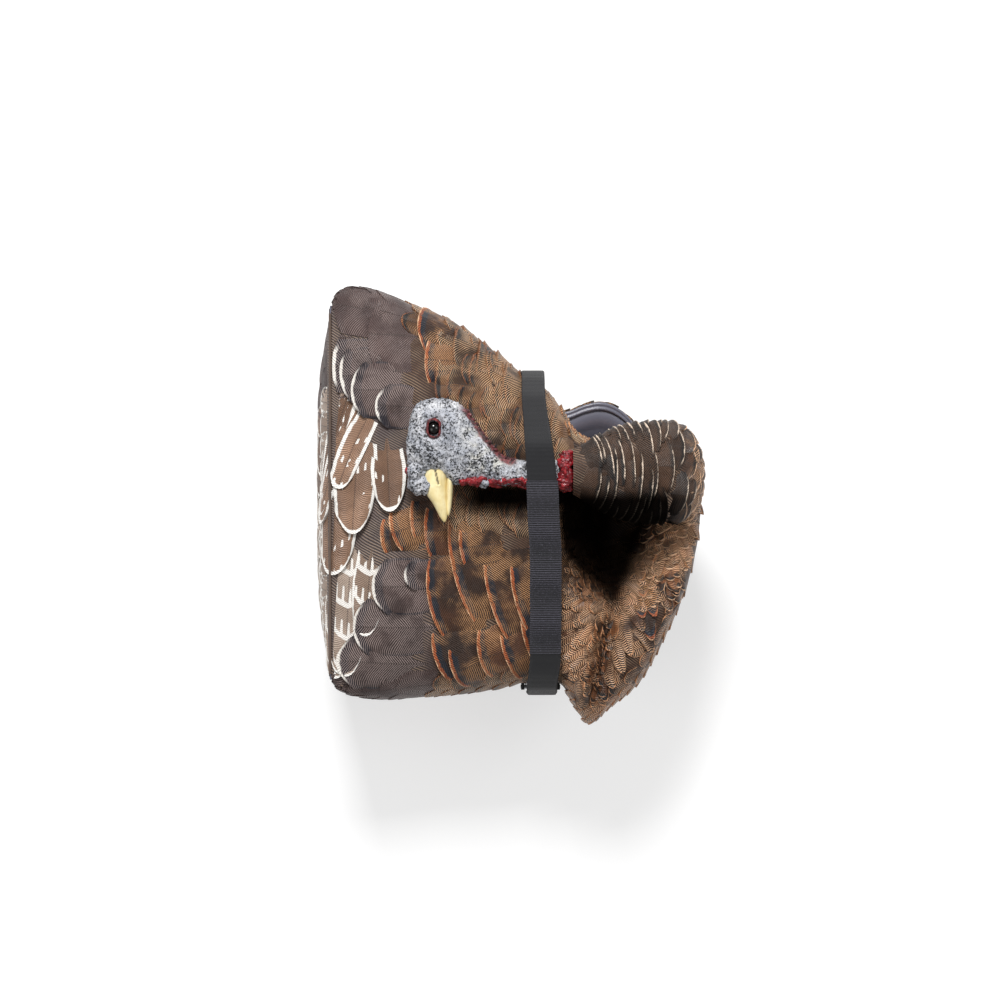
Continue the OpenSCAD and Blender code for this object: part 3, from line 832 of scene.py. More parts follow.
for x, y, heading, length, width, lift, bend, mat in QUILLS:
    a = math.radians(heading)
    base = over.cast(x, y)
    if base is not None:
        over.feather(base, (math.cos(a), math.sin(a), 0), length, width, lift, mat, bend=bend, tip=1.0,
                     taper=0.8, lip=0.7, waist=0.8, rows=20, cols=6, sink=0.1)

# Large coverts: three points of each tip edge, length, lift.
COVERT_TIPS = [
    ((-73, 180), (-87, 150), (-76, 113), 56, 3.6), ((-73, 148), (-76, 127), (-72, 106), 40, 3.8),
    ((-64, 120), (-66.5, 106), (-64, 90), 40, 4.0), ((-46, 163), (-54, 136), (-46, 108), 46, 4.0),
    ((-29, 150), (-32, 128), (-27, 94), 44, 4.0), ((-14, 142), (-20, 118), (-14, 88), 44, 4.0),
    ((-5, 133), (-9.5, 104), (-5, 76), 44, 4.2), ((12, 118), (8, 96), (11, 70), 44, 4.2),
    ((-113, -11), (-114, -27), (-111, -42), 44, 3.2), ((-107, -5), (-104, -24), (-96, -40), 48, 3.8),
    ((-88, 4), (-88, -13), (-85, -32), 44, 4.0), ((-75, 1), (-75.5, -22), (-73, -47), 46, 4.0),
    ((-71, -51), (-72, -84), (-57, -125), 60, 4.4), ((-52, -17), (-50, -58), (-28, -118), 60, 4.4),
    ((-44, -18), (-44, -38), (-38, -58), 40, 4.6), ((-69, -115), (-65, -140), (-50, -164), 62, 3.4),
    ((-54, -124), (-50, -150), (-34, -173), 58, 3.8), ((-27, -115), (-26.5, -136), (-13, -164), 54, 4.2),
    ((-23, -50), (-17, -86), (1, -130), 56, 4.6), ((-5, -56), (4, -88), (17, -124), 56, 4.6),
    ((-9, -110), (-2, -140), (13, -166), 52, 4.2), ((8, -100), (16, -128), (30, -160), 50, 4.6),
    ((15, -52), (22, -82), (35, -112), 50, 4.8),
]
for first, middle, last, length, lift in COVERT_TIPS:
    kind = COVERT if middle[1] < 20 or middle[0] < -70 else DULL
    front.rimmed(first, middle, last, length, lift, kind, lip=0.8, tint=front.rand.random(), rows=12, cols=6,
                 sink=1.15)
x = -64
while x < 36:
    for y in (-6, 18, 44, 68, 92, 116, 140):
        y += front.rand.uniform(-8, 8)
        x2 = x + front.rand.uniform(-4, 4)
        if y < curve_y(FRONT_UPPER_EDGE, x2) - 12:
            lean = front.rand.uniform(-3, 5)
            front.rimmed((x2 + 4, y + 16), (x2 - 2, y), (x2 + 4 + lean, y - 17), 32, 2.8, DULL, lip=0.6,
                         rows=9, cols=5, sink=1.1)
    x += 9


def cover(plumage, x0, x1, y0, y1, spacing, inside, style, **extra):
    """Fills a plan area with feathers. style gives heading, length, width, lift and kind."""
    r = plumage.rand
    x, odd = x0, 0
    while x < x1:
        y = y0 + (spacing / 2 if odd else 0)
        while y < y1:
            if inside(x, y):
                heading, length, width, lift, mat = style(x, y)
                plumage.tipped(
                    x + r.uniform(-0.2, 0.2) * spacing, y + r.uniform(-0.2, 0.2) * spacing,
                    heading + r.uniform(-9, 9), length * r.uniform(0.85, 1.2), width * r.uniform(0.85, 1.15),
                    lift * r.uniform(0.8, 1.2), mat, **extra,
                )
            y += spacing
        x += spacing * 0.8
        odd = 1 - odd


def on_top(x, y, margin):
    return curve_y(FRONT_LOWER_EDGE, x) + margin < y < curve_y(FRONT_UPPER_EDGE, x) - margin


# golden feathers beside the strap's far end, and the seat that the neck hides
cover(front, 36, 132, -8, 112, 13, lambda x, y: on_top(x, y, 5) and y > 20 + (x - 40) * 0.1,
      lambda x, y: (190 + 12 * math.sin(x * 0.2), 24, 13, 2.0, GOLD), rows=6, cols=3, lip=0.3, sink=0.8)
# the hollow
cover(front, 44, 140, -112, 26, 13,
      lambda x, y: on_top(x, y, 8) and x < crease_x(y) + 40 and y > -84 - (x - 60) * 0.3,
      lambda x, y: (math.degrees(math.atan2(y + 30, x - 88)) + 180, 24, 13, 2.2, BRONZE), rows=6, cols=3,
      lip=0.4, sink=0.8)
# left of the crease, right of the strap
cover(front, 44, 92, -186, -40, 9.5, lambda x, y: on_top(x, y, 5) and x < crease_x(y) - 1,
      lambda x, y: (208 + 24 * float(smooth((-y - 110) / 70)), 27, 14, 2.8, BRONZE), rows=7, cols=3, lip=0.6,
      sink=0.9)
# the roll on the right
cover(front, 118, 174, -92, 56, 8.5, lambda x, y: on_top(x, y, 2.5) and x > 122 - max(0, y + 20) * 0.2,
      lambda x, y: (-78 + max(0, y) * 0.8 + (x - 150) * 0.7, 19, 11.5, 2.4, SCALE), rows=7, cols=3, lip=0.6,
      sink=0.8)

# Leaf-shaped feathers that fan out to the corner: tip x, tip y, heading, length, width, lift.
LEAVES = [
    (74, -193, -92, 56, 18, 2.2), (84, -186, -84, 60, 18, 2.6), (95, -175, -80, 60, 19, 3.0),
    (107, -165, -76, 62, 20, 3.4), (119, -152, -73, 62, 20, 3.8), (130, -139, -70, 60, 21, 4.0),
    (142, -122, -66, 56, 21, 4.0), (151, -102, -64, 50, 20, 3.8), (160, -80, -68, 42, 19, 3.4),
    (167, -58, -74, 36, 17, 3.0), (171, -36, -80, 32, 16, 2.8), (173, -12, -84, 30, 15, 2.6),
]
for inward, fall in ((0.0, 0.0), (15.0, 0.5), (29.0, 0.9)):
    for i, (x, y, heading, length, width, lift) in enumerate(LEAVES[: 12 if inward == 0 else 9]):
        x2 = x - 3 - inward * 0.45 + front.rand.uniform(-1.5, 1.5)
        y2 = y + 3 + inward * 0.9 + front.rand.uniform(-2, 2)
        if x2 > crease_x(y2) - 6:
            kind = COVERT if i in (6, 7) and inward < 20 else BRONZE
            heading += front.rand.uniform(-5, 5)
            front.tipped(x2, y2, heading, length - fall * 8, width, lift - fall, kind, tip=1.25,
                         taper=0.6, lip=0.8, waist=0.7, rows=11, cols=5, sink=0.75)


def wall_points(point, xs, z, side):
    """Points on a shell's side wall at the wanted height."""
    p = side * np.linspace(0.25, 1, 400)
    out = []
    for x in xs:
        column = point(np.full(400, float(x)), p)
        k = int(np.argmin(np.abs(column[:, 2] - z)))
        if abs(column[k, 2] - z) < 3:
            out.append(column[k])
    return out


def front_tract(at):
    x = at[0]
    if x < -62 or (at[1] < 0 and x < -36):
        return (PLAIN, 62, 34, 1.6)
    if x < 60:
        return (DULL, 44, 28, 1.6)
    return (BRONZE, 25, 15, 1.8)


for side in (-1, 1):
    spots = []
    for row, z in enumerate((158, 141, 124, 108)):
        spots += wall_points(front_point, np.arange(170, -118, -15) + (7 if row % 2 else 0), z, side)
    spots = [at for at in spots if FOLD_X + (166 - at[2]) + 16 < at[0] < 62]
    for row, z in enumerate(np.arange(166, 103, -8.5)):
        spots += wall_points(front_point, np.arange(170, 54, -10.5) + (5 if row % 2 else 0), z, side)
    for at in spots:
        # the strap's sewn end swings past the low part of this wall, so it stays bare
        if not (side < 0 and 6 < at[0] < 84 and at[2] < 126):
            mat, length, width, lift = front_tract(at)
            front.feather(at, (-1, 0, -0.12), length, width, lift, mat, tip=0.7, lip=0.3, taper=0.85,
                          sink=0.7)

settle(front.build("front_feathers", feather_paints), RUBBER, "front")
settle_bent(over.build("crease_feathers", feather_paints))


# ---------- feathers of the spine panel and the tail half ----------

spine = Plumage(spine_tree, 5)
for row, z in enumerate((146, 129, 112, 95, 78, 61)):
    y = -142 + (13 if row % 2 else 0)
    while y < 164:
        at, _ = spine.step((FOLD_X - 12, y, z), (0, 0, 0))
        mat = BARRED if y < 10 else (PRIMARY if y < 80 else PLAIN)
        spine.feather(at, (0, spine.rand.uniform(-0.08, 0.2), -1), 34 + spine.rand.uniform(-4, 8),
                      34 + spine.rand.uniform(-6, 8), 2.2, mat, rows=9, cols=5, tip=0.8, lip=0.4, taper=0.85)
        y += 26 + spine.rand.uniform(-3, 3)
settle(spine.build("spine_feathers", feather_paints), RUBBER, "spine")

tail = Plumage(tail_tree, 7)
for row, x in enumerate(np.arange(-146, 96, 16)):
    low_y, top_y = float(curve_y(TAIL_LOWER_EDGE, x)) + 10, float(curve_y(TAIL_UPPER_EDGE, x)) - 10
    for y in np.arange(low_y + (12 if row % 2 else 0), top_y, 22):
        at = tail.cast(x, y, -50, 1)
        if at is not None:
            heading = unit((1, 0.25 * (20 - y) / 100, 0))
            if x < -60:
                mat, length, width = BRONZE, 44, 28
            elif x < 20:
                mat, length, width = COVERT, 48, 28
            else:
                mat, length, width = TAILF, 64, 24
            tail.feather(at, heading, min(length, 112 - x), width, 1.9, mat, tip=0.6, lip=0.3, taper=0.85)
for side in (-1, 1):
    for row, z in enumerate((30, 50, 70)):
        xs = np.arange(-134, 96, 22) + (11 if row % 2 else 0)
        for at in wall_points(tail_point, xs, z, side):
            if at[2] < LOWER_FOLD_Z + (at[0] - FOLD_X) - 6:
                mat = BRONZE if at[0] < -40 else (COVERT if at[0] < 20 else TAILF)
                tail.feather(at, (1, 0, 0.12), 40, 26, 2.2, mat, rows=7, cols=4, tip=0.7, lip=0.4, taper=0.85)
settle(tail.build("tail_feathers", feather_paints), RUBBER, "tail")


# ---------- the rubber that bends at the folds ----------

crease_p = np.linspace(-0.9, 0.9, 90)[:, None]
front_part = front_point(np.array([-144, -147, -150, -153, -155.5, -157.5])[None, :], crease_p)
spine_part = spine_point(np.array([165.5, 163, 160.5, 158, 155, 152.0])[None, :], crease_p)
upper_strip = np.concatenate([front_part + (0, 0, 0.7), spine_part + (-0.7, 0, 0)], 1)
upper_crease = slab("upper_crease", upper_strip[::-1], (0.8, 0, -0.8), skin_paint)
settle_bent(upper_crease)

spine_part = spine_point(np.array([38, 35, 32, 29.5, 27, 24.5])[None, :], crease_p)
tail_part = tail_point(np.array([-157.5, -155.5, -153, -150, -147, -144])[None, :], crease_p)
lower_strip = np.concatenate([spine_part + (-0.9, 0, 0), tail_part + (0, 0, -0.9)], 1)
lower_crease = slab("lower_crease", lower_strip[::-1], (0.8, 0, 0.8), skin_paint)
settle_bent(lower_crease)


def gusset(name, side, upper_one):
    """The web of thin rubber in a shell's side, between the two mitred edges."""
    t = np.linspace(3, 69, 34)
    s = (t + 4) / (UPPER_FOLD_Z - LOWER_FOLD_Z)
    spine_y = 12 + side * (164 + 3 * np.sin(math.pi * s))
    if upper_one:
        edge = FRONT_UPPER_EDGE if side > 0 else FRONT_LOWER_EDGE
        a = np.stack([FOLD_X + t, curve_y(edge, FOLD_X + t) - side * 2, 166 - t], 1)
        b = np.stack([FOLD_X - 1 + t, spine_y, 165 - t], 1)
    else:
        edge = TAIL_UPPER_EDGE if side > 0 else TAIL_LOWER_EDGE
        b = np.stack([FOLD_X + t, curve_y(edge, FOLD_X + t) - side * 2, 24 + t], 1)
        a = np.stack([FOLD_X - 1 + t, spine_y, 25 + t], 1)
    grid = np.stack([a + (b - a) * w for w in np.linspace(0, 1, 15)], 1)
    obj = slab(name, grid, (0, -side * 1.2, 0), skin_paint)
    if upper_one:
        settle_bent(obj)
    else:
        settle_bent(obj)


for half, upper_one in (("front", True), ("tail", False)):
    for hand, side in (("left", 1), ("right", -1)):
        gusset("gusset_%s_%s" % (half, hand), side, upper_one)


# ---------- the neck ----------

BEND = np.array([118.0, 152.0])  # x and z of the bend's centre


def neck_station(s):
    """Centre x, y, z, half-width, direction of the outside, half-thickness. s is 0 at the head."""
    if s <= 0.5:
        k = 1 - s / 0.5
        x = 117.5 + (56 - 117.5) * k
        z = 192 + (NECK_Z - 192) * float(smooth(k))
        return x, NECK_Y, z, 43.5 - 24 * k ** 1.5, (0.0, 1.0), 27 - 8 * k
    a = 88 - (s - 0.5) / 0.5 * 122
    r = math.radians(a)
    out = (math.cos(r), math.sin(r))
    flare = float(smooth((20 - a) / 50))
    half = 30 + 14 * float(smooth(a / 50)) + 18 * flare
    thick = 14 + 13 * float(smooth((a + 12) / 100)) + 5 * flare
    x, z = BEND + 40 * np.array(out) - np.array([4.0 * flare, 0])
    return x, NECK_Y - 20 * flare, z, half, out, thick


def neck_point(s, angle, inset=0.0):
    x, y, z, half, out, thick = neck_station(s)
    across, up = math.cos(angle) * (half - inset), math.sin(angle) * (thick - inset)
    return (x + out[0] * up, y + across, z + out[1] * up)


ring = np.linspace(0, 2 * math.pi, 72, endpoint=False)
neck_outer = np.array([[neck_point(s, a) for a in ring] for s in np.linspace(0, 1, 90)])
neck_inner = np.array([[neck_point(s, a, 3) for a in ring] for s in np.linspace(0.01, 0.93, 60)])
neck_tree = tree_of(neck_outer, close=True)


def neck_painted_shade(points):
    """Painted shade on the neck's shaded side, and on the inside of its bend."""
    x, y, z = points[..., 0], points[..., 1], points[..., 2]
    # painted shade on the neck's lower side
    under = smooth((21 - y) / 16) * smooth((166 - x) / 26)
    # painted shade inside the bend
    inner = smooth((134 - x) / 16) * smooth((190 - z) / 14)
    return np.clip(np.maximum(under * 0.975, inner * 0.95), 0, 1)


neck = Plumage(neck_tree, 11, neck_painted_shade)
outward = neck_tree.find_nearest(Vector((100, NECK_Y, 240)))[1].z > 0
if not outward:
    neck.tree = tree_of(neck_outer, flip=True, close=True)
neck.grid(neck_outer, flip=not outward, close=True)
neck.grid(neck_inner, flip=outward, close=True)
neck.grid(np.stack([neck_outer[0], neck_inner[0]]), flip=outward, close=True)
s = 0.0
while s < 0.93:
    _, _, _, half, _, thick = neck_station(s)
    around = 2 * math.pi * math.sqrt((half ** 2 + thick ** 2) / 2)
    turned = float(smooth((s - 0.5) / 0.24))
    count = max(4, round(around / (38 - 27 * turned)))
    start = neck.rand.uniform(0, 1)
    for k in range(count):
        angle = 2 * math.pi * (k + start + neck.rand.uniform(-0.16, 0.16)) / count
        at = np.array(neck_point(min(0.97, max(0.0, s + neck.rand.uniform(-0.012, 0.012))), angle))
        ahead = np.array(neck_point(min(s + 0.02, 1), angle))
        d = unit(ahead - at) + np.array([0, -0.75, 0]) * turned
        neck.feather(at, d, (22 + neck.rand.uniform(-2, 3)) * (1 - 0.25 * turned), around / count * 1.3, 2.4,
                     NECKF if neck.rand.random() > turned else SCALE, rows=8, cols=6, tip=0.1 + 0.5 * turned,
                     taper=0.95, lip=0.9, waist=0.9, sink=0.7)
    s += (0.06 + neck.rand.uniform(-0.016, 0.016)) * (1 - 0.5 * turned)
neck_skin = neck.build("neck_skin", feather_paints)
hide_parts("neck_skirt", "neck_sleeve")
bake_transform(neck_skin)


# ---------- the head ----------

def jitter(points, scale, amount, seed=0.0):
    """A smooth random number for each point, about -amount to amount."""
    flat = np.asarray(points, float).reshape(-1, 3)
    out = [noise.noise(Vector(v) / scale + Vector((seed, 0, 0))) for v in flat]
    return np.array(out).reshape(np.asarray(points).shape[:-1]) * amount


def tube_normals(points):
    """Normals of a closed tube of points, by the cross product of its two directions."""
    n = np.cross(np.gradient(points, axis=0), np.roll(points, -1, 1) - np.roll(points, 1, 1))
    return n / np.maximum(np.linalg.norm(n, axis=-1, keepdims=True), 1e-9)


HEAD_TOP = [
    (-90, 47), (-89, 60), (-87, 76), (-83.5, 86), (-78, 91.5), (-71, 93.8), (-63, 94.8), (-55, 94),
    (-46, 90.5), (-38, 84), (-27, 68.5), (-16, 53.5), (-6, 43.5), (2, 41), (44, 40.5),
]
HEAD_LOW = [
    (-90, 45), (-89, 38), (-86, 33), (-80, 30.5), (-70, 29), (-58, 28), (-52, 22), (-49, 18.5), (-45, 18.5),
    (-40, 20.5), (-20, 19.5), (0, 19.5), (44, 19.5),
]
HEAD_HALF = [
    (-90, 2), (-89, 8.5), (-86, 12.5), (-80, 16), (-70, 19), (-58, 20), (-46, 18), (-34, 15.2), (-20, 13.2),
    (-8, 11.6), (4, 10.9), (44, 10.5),
]
EYE = (-66.0, 68.0)
EYE_OFF = 15.0
EYE_R = 6.5

head_x = np.concatenate([-90 + 6 * np.linspace(0, 1, 22) ** 2, np.linspace(-83.6, 43.5, 200)])
turn = np.linspace(0, 2 * math.pi, 150, endpoint=False)
mid_y = (curve_y(HEAD_TOP, head_x) + curve_y(HEAD_LOW, head_x)) / 2
half_y = (curve_y(HEAD_TOP, head_x) - curve_y(HEAD_LOW, head_x)) / 2
half_z = curve_y(HEAD_HALF, head_x)
cy = np.sign(np.cos(turn)) * np.abs(np.cos(turn)) ** 0.9
cz = np.sign(np.sin(turn)) * np.abs(np.sin(turn)) ** 0.9
head_grid = np.stack([
    np.repeat(head_x[:, None], len(turn), 1),
    mid_y[:, None] + half_y[:, None] * cy,
    NECK_Z + half_z[:, None] * cz,
], -1)
head_n = tube_normals(head_grid)
if head_n[100, 37, 2] * (head_grid[100, 37, 2] - NECK_Z) < 0:
    head_n = -head_n
hx, hy, hz = head_grid[..., 0], head_grid[..., 1], head_grid[..., 2] - NECK_Z
def mound(x, y, rx, ry):
    return np.exp(-(((hx - x) / rx) ** 2 + ((hy - y) / ry) ** 2))


side_on = smooth((np.abs(hz) - 5) / 6)
eye_d = np.sqrt(((hx - EYE[0]) / 0.9) ** 2 + (hy - EYE[1]) ** 2)
jaw = np.exp(-((((hx + 52) * 0.8 - (hy - 46) * 0.25) / 2.2) ** 2))
relief = -2.6 * np.exp(-((eye_d / 10.5) ** 4)) * side_on
relief += 1.5 * np.exp(-(((eye_d - 13.5) / 2.6) ** 2)) * side_on
relief += 1.4 * mound(-66, 45, 9, 5) * side_on
relief -= 1.6 * jaw * smooth((66 - hy) / 8) * smooth((hy - 36) / 6) * side_on
relief += 1.6 * mound(-40, 47, 8, 9) * side_on
relief -= 1.5 * mound(-41, 56, 1.2 * 3.2, 3.2) * side_on
folded = np.sin(((hx + 10) * 0.62 + (hy - 40) * 0.78) * 0.75 + jitter(head_grid, 9, 2.2, 3))
relief += 0.55 * folded * smooth((hx + 50) / 20) * (0.4 + 0.6 * smooth((4 - hx) / 20))
relief += jitter(head_grid, 8.0, 1.3, 1) + jitter(head_grid, 3.2, 1.3, 2) + jitter(head_grid, 1.4, 0.6, 5)
relief *= smooth((43 - hx) / 6)
head_grid = head_grid + head_n * relief[..., None]
nape = smooth(((hy - curve_y(HEAD_TOP, hx)) + 7) / 4) * smooth((hx + 46) / 8) * smooth((9 - hx) / 6)
yellow = smooth((hx + 50) / 26) * smooth((hy - 24) / 12)
# the third number is painted shade round the sunken eye
head_fea = np.stack([nape, yellow, np.exp(-((eye_d / 15) ** 2)), np.zeros_like(nape)], -1)
head_soup = Soup()
head_soup.grid(head_grid, fea=head_fea, flip=True, close=True)
face = np.repeat(head_grid[:1].mean(1, keepdims=True), len(turn), 1)
head_soup.grid(np.concatenate([face, head_grid[:1]]), fea=head_fea[:2], flip=True, close=True)
end = np.repeat(head_grid[-1:].mean(1, keepdims=True), len(turn), 1)
head_soup.grid(np.concatenate([head_grid[-1:], end]), fea=head_fea[-2:], flip=True, close=True)


def head_paint():
    p = Paint("head_skin")
    place = p.place()
    nape_mask, yellow_mask, eye_shade_mask, _ = p.fea()
    cloud = p.noise(place, 60.0, 4.0)
    color = p.mix(p.step(cloud, 0.35, 0.7), srgb(162, 165, 173), srgb(206, 206, 209))
    warm = yellow_mask * p.step(p.noise(place, 110.0, 3.0), 0.38, 0.68)
    color = p.mix(warm * 0.7, color, srgb(188, 184, 168))
    deep = p.noise(place, 320.0, 3.0)
    color = p.mix(p.step(deep, 0.5, 0.62) * 0.25, color, srgb(120, 128, 142))
    # black paint left in the pits
    dots = p.noise(place, 560.0, 5.0, 0.66)
    thick = p.noise(place, 75.0, 3.0) * 0.44 + 0.322
    # real black stipple, drawn denser round the eye as painted shade of the socket
    thick = thick - eye_shade_mask * 0.02
    pit = p.step(dots - thick, -0.012, 0.014)
    color = p.mix(pit * 0.97, color, srgb(14, 14, 18))
    cracks = p.noise(place, 190.0, 5.0, 0.6)
    crack = p.step(p.math("ABSOLUTE", cracks - 0.5), 0.02, 0.005)
    color = p.mix(crack * 0.75, color, srgb(34, 34, 40))
    red = p.mix(p.step(p.noise(place, 240.0, 3.0), 0.42, 0.6), srgb(58, 20, 24), srgb(120, 40, 44))
    color = p.mix(nape_mask * 0.9, color, red)
    height = p.noise(place, 260.0, 4.0) - pit * 0.5
    normal = p.bump(height, 0.7, 0.0008)
    wear = 0.46 + cloud * 0.14
    return p.finish(color, wear, normal, specular=0.45)


head_material = head_paint()
settle(head_soup.build("head_skin", [head_material]), "painted_skin", "head", "head_shell", "bare_neck")


def fleshy_paint(name, deep, light, rough=0.32):
    p = Paint(name)
    place = p.place()
    color = p.mix(p.step(p.noise(place, 210.0, 4.0), 0.38, 0.62), deep, light)
    # pale flecks: painted highlights on the lumps, placed by noise
    pale_highlight = p.step(p.noise(place, 330.0, 4.0), 0.62, 0.72)
    color = p.mix(pale_highlight * 0.55, color, srgb(206, 168, 172))
    dark = p.step(p.noise(place, 150.0, 4.0), 0.36, 0.26)
    color = p.mix(dark * 0.7, color, srgb(30, 8, 10))
    normal = p.bump(p.noise(place, 420.0, 3.0), 0.5, 0.0006)
    return p.finish(color, rough, normal)


red_paint = fleshy_paint("red_flesh", srgb(92, 14, 22), srgb(150, 30, 38))
lid_paint = fleshy_paint("eye_lid", srgb(44, 12, 15), srgb(122, 36, 38), 0.4)


def lump(soup, centre, radii, mat=0, seed=0.0, wobble=0.16, segments=(18, 26)):
    """A knobbly ball."""
    a = np.linspace(0.001, math.pi - 0.001, segments[0])[:, None]
    b = np.linspace(0, 2 * math.pi, segments[1], endpoint=False)[None, :]
    ball = np.stack([np.sin(a) * np.cos(b), np.sin(a) * np.sin(b), np.cos(a) * np.ones_like(b)], -1)
    size = 1 + jitter(ball + seed, 0.8, wobble, seed) + jitter(ball + seed, 0.35, wobble * 0.5, seed)
    soup.grid(np.asarray(centre, float) + ball * np.asarray(radii, float) * size[..., None], mat, close=True)


rand = random.Random(21)
snood = Soup()
lump(snood, (-81, 31, NECK_Z), (9, 10.5, 11.5), seed=1.3, segments=(44, 60), wobble=0.24)
lump(snood, (-80, 19.5, NECK_Z), (9.6, 10, 9.5), seed=2.1, segments=(44, 60), wobble=0.26)
lump(snood, (-73, 18, NECK_Z), (6, 8, 9.5), seed=4.1, segments=(34, 44), wobble=0.26)
lump(snood, (-89.5, 31, NECK_Z), (2.6, 3.4, 3.2), mat=1, seed=3.3)
settle(snood.build("snood_skin", [head_material, red_paint]), "painted_skin", "head", "snood")

wattle = Soup()
x = -41.0
while x < 14:
    low = float(curve_y(HEAD_LOW, x))
    for z in (-7.5, 0.0, 7.5):
        at = (x + rand.uniform(-1.4, 1.4), low + (2.4 if z else 0.2) + rand.uniform(-1.2, 1.4), NECK_Z + z)
        radii = (rand.uniform(2.6, 5.0), rand.uniform(2.2, 4.2), rand.uniform(3.2, 4.6))
        lump(wattle, at, radii, seed=x + z, wobble=0.5, mat=0 if rand.random() < 0.74 else 2)
    x += rand.uniform(3.0, 5.2)
for px in np.linspace(-38, 4, 16):
    py = float(curve_y(HEAD_TOP, px)) - 0.6
    lump(wattle, (px, py, NECK_Z + rand.uniform(-2, 2)), (2.6, 2.2, 3.4), mat=1, seed=px, wobble=0.35)
dark_red = fleshy_paint("nape_flesh", srgb(52, 22, 26), srgb(104, 40, 44), 0.45)
wattle_obj = wattle.build("throat_lumps", [red_paint, dark_red, head_material])
settle(wattle_obj, "red_skin", "head", "throat_wattle")

caruncle = Soup()
for i in range(13):
    a = 2 * math.pi * (i + rand.uniform(-0.2, 0.2)) / 13
    reach = 13.2 + rand.uniform(-1.6, 1.6)
    at = (49.5 + rand.uniform(-2.5, 2.5), NECK_Y + reach * math.cos(a), NECK_Z + reach * math.sin(a))
    radii = (rand.uniform(4.2, 7.4), rand.uniform(4.2, 6.4), rand.uniform(4.2, 6.4))
    lump(caruncle, at, radii, seed=i * 1.7, wobble=0.5, segments=(26, 36))
settle(caruncle.build("caruncles", [red_paint]), "red_skin", "neck", "caruncle_ring")


# ---------- beak and eyes ----------

def beak_paint():
    p = Paint("beak_cream")
    place = p.place()
    # the fourth number is painted shade in the nostril slits
    dark = p.fea()[3]
    cloud = p.noise(place, 70.0, 4.0)
    color = p.mix(p.step(cloud, 0.35, 0.7), srgb(226, 206, 146), srgb(243, 230, 184))
    stretched = p.node("ShaderNodeMapping")
    stretched.inputs["Scale"].default_value = (1.0, 0.12, 1.0)
    p.put(stretched.inputs["Vector"], place)
    streak = p.noise(Value(p, stretched.outputs[0]), 420.0, 3.0)
    color = p.mix(p.step(streak, 0.55, 0.75) * 0.3, color, srgb(168, 140, 92))
    color = p.mix(dark, color, srgb(30, 24, 20))
    normal = p.bump(streak, 0.15, 0.0004)
    return p.finish(color, 0.34, normal)


cream = beak_paint()


def beak_half(name, replaced, stations, nostrils):
    """stations are y, low x, high x and half-width in z, from the face to the tip."""
    table = np.array(stations[::-1], float)
    ys = table[0, 0] + (table[-1, 0] - table[0, 0]) * np.linspace(0, 1, 90) ** 1.15
    lo, hi, th = (curve_y(table[:, [0, k]], ys) for k in (1, 2, 3))
    around = np.linspace(0, 2 * math.pi, 64, endpoint=False)
    ex = np.sign(np.cos(around)) * np.abs(np.cos(around)) ** 0.85
    ez = np.sign(np.sin(around)) * np.abs(np.sin(around)) ** 0.95
    grid = np.stack([
        ((lo + hi) / 2)[:, None] + ((hi - lo) / 2)[:, None] * ex, np.repeat(ys[:, None], 64, 1),
        NECK_Z + th[:, None] * ez,
    ], -1)
    fea = np.zeros(grid.shape[:2] + (4,))
    if nostrils:
        a, b = np.array([-65.0, 31.5]), np.array([-62.2, 19.5])
        q = grid[..., :2] - a
        t = np.clip((q @ (b - a)) / np.dot(b - a, b - a), 0, 1)
        d = np.linalg.norm(q - t[..., None] * (b - a), axis=-1)
        on_side = smooth((np.abs(grid[..., 2] - NECK_Z) - 3) / 2)
        slit = np.exp(-((d / 0.75) ** 4)) * on_side
        lipped = np.exp(-(((d - 2.2) / 0.9) ** 2)) * on_side
        grid[..., 2] += np.sign(grid[..., 2] - NECK_Z) * (0.45 * lipped - 1.6 * slit)
        # painted shade in the sunken nostril slits
        fea[..., 3] = slit
    soup = Soup()
    soup.grid(grid, fea=fea, close=True)
    soup.caps(grid)
    settle(soup.build(name, [cream]), "beak_horn", "head", replaced)


beak_half("beak_upper", "upper_beak", [
    (47, -55.6, -52.6, 3.4), (42, -63, -51.4, 7.8), (36, -71, -52.0, 9.9), (28, -74.6, -53.6, 10.2),
    (18, -75, -54.8, 9.4), (10, -72.6, -55.2, 8.2), (3, -67.8, -55.0, 6.8), (-4, -64, -54.4, 4.8),
    (-10, -60.8, -54.6, 2.9), (-13, -58.6, -55.6, 1.6), (-14, -57.6, -56.4, 0.5),
], True)
beak_half("beak_lower", "lower_beak", [
    (40, -53.2, -49.6, 8.4), (32, -54.4, -49.2, 8.6), (20, -55.4, -49.3, 7.8), (8, -55.6, -50.0, 5.8),
    (-2, -55.2, -51.2, 3.4), (-7, -54.6, -52.4, 1.8), (-8.6, -53.9, -53.1, 0.4),
], False)

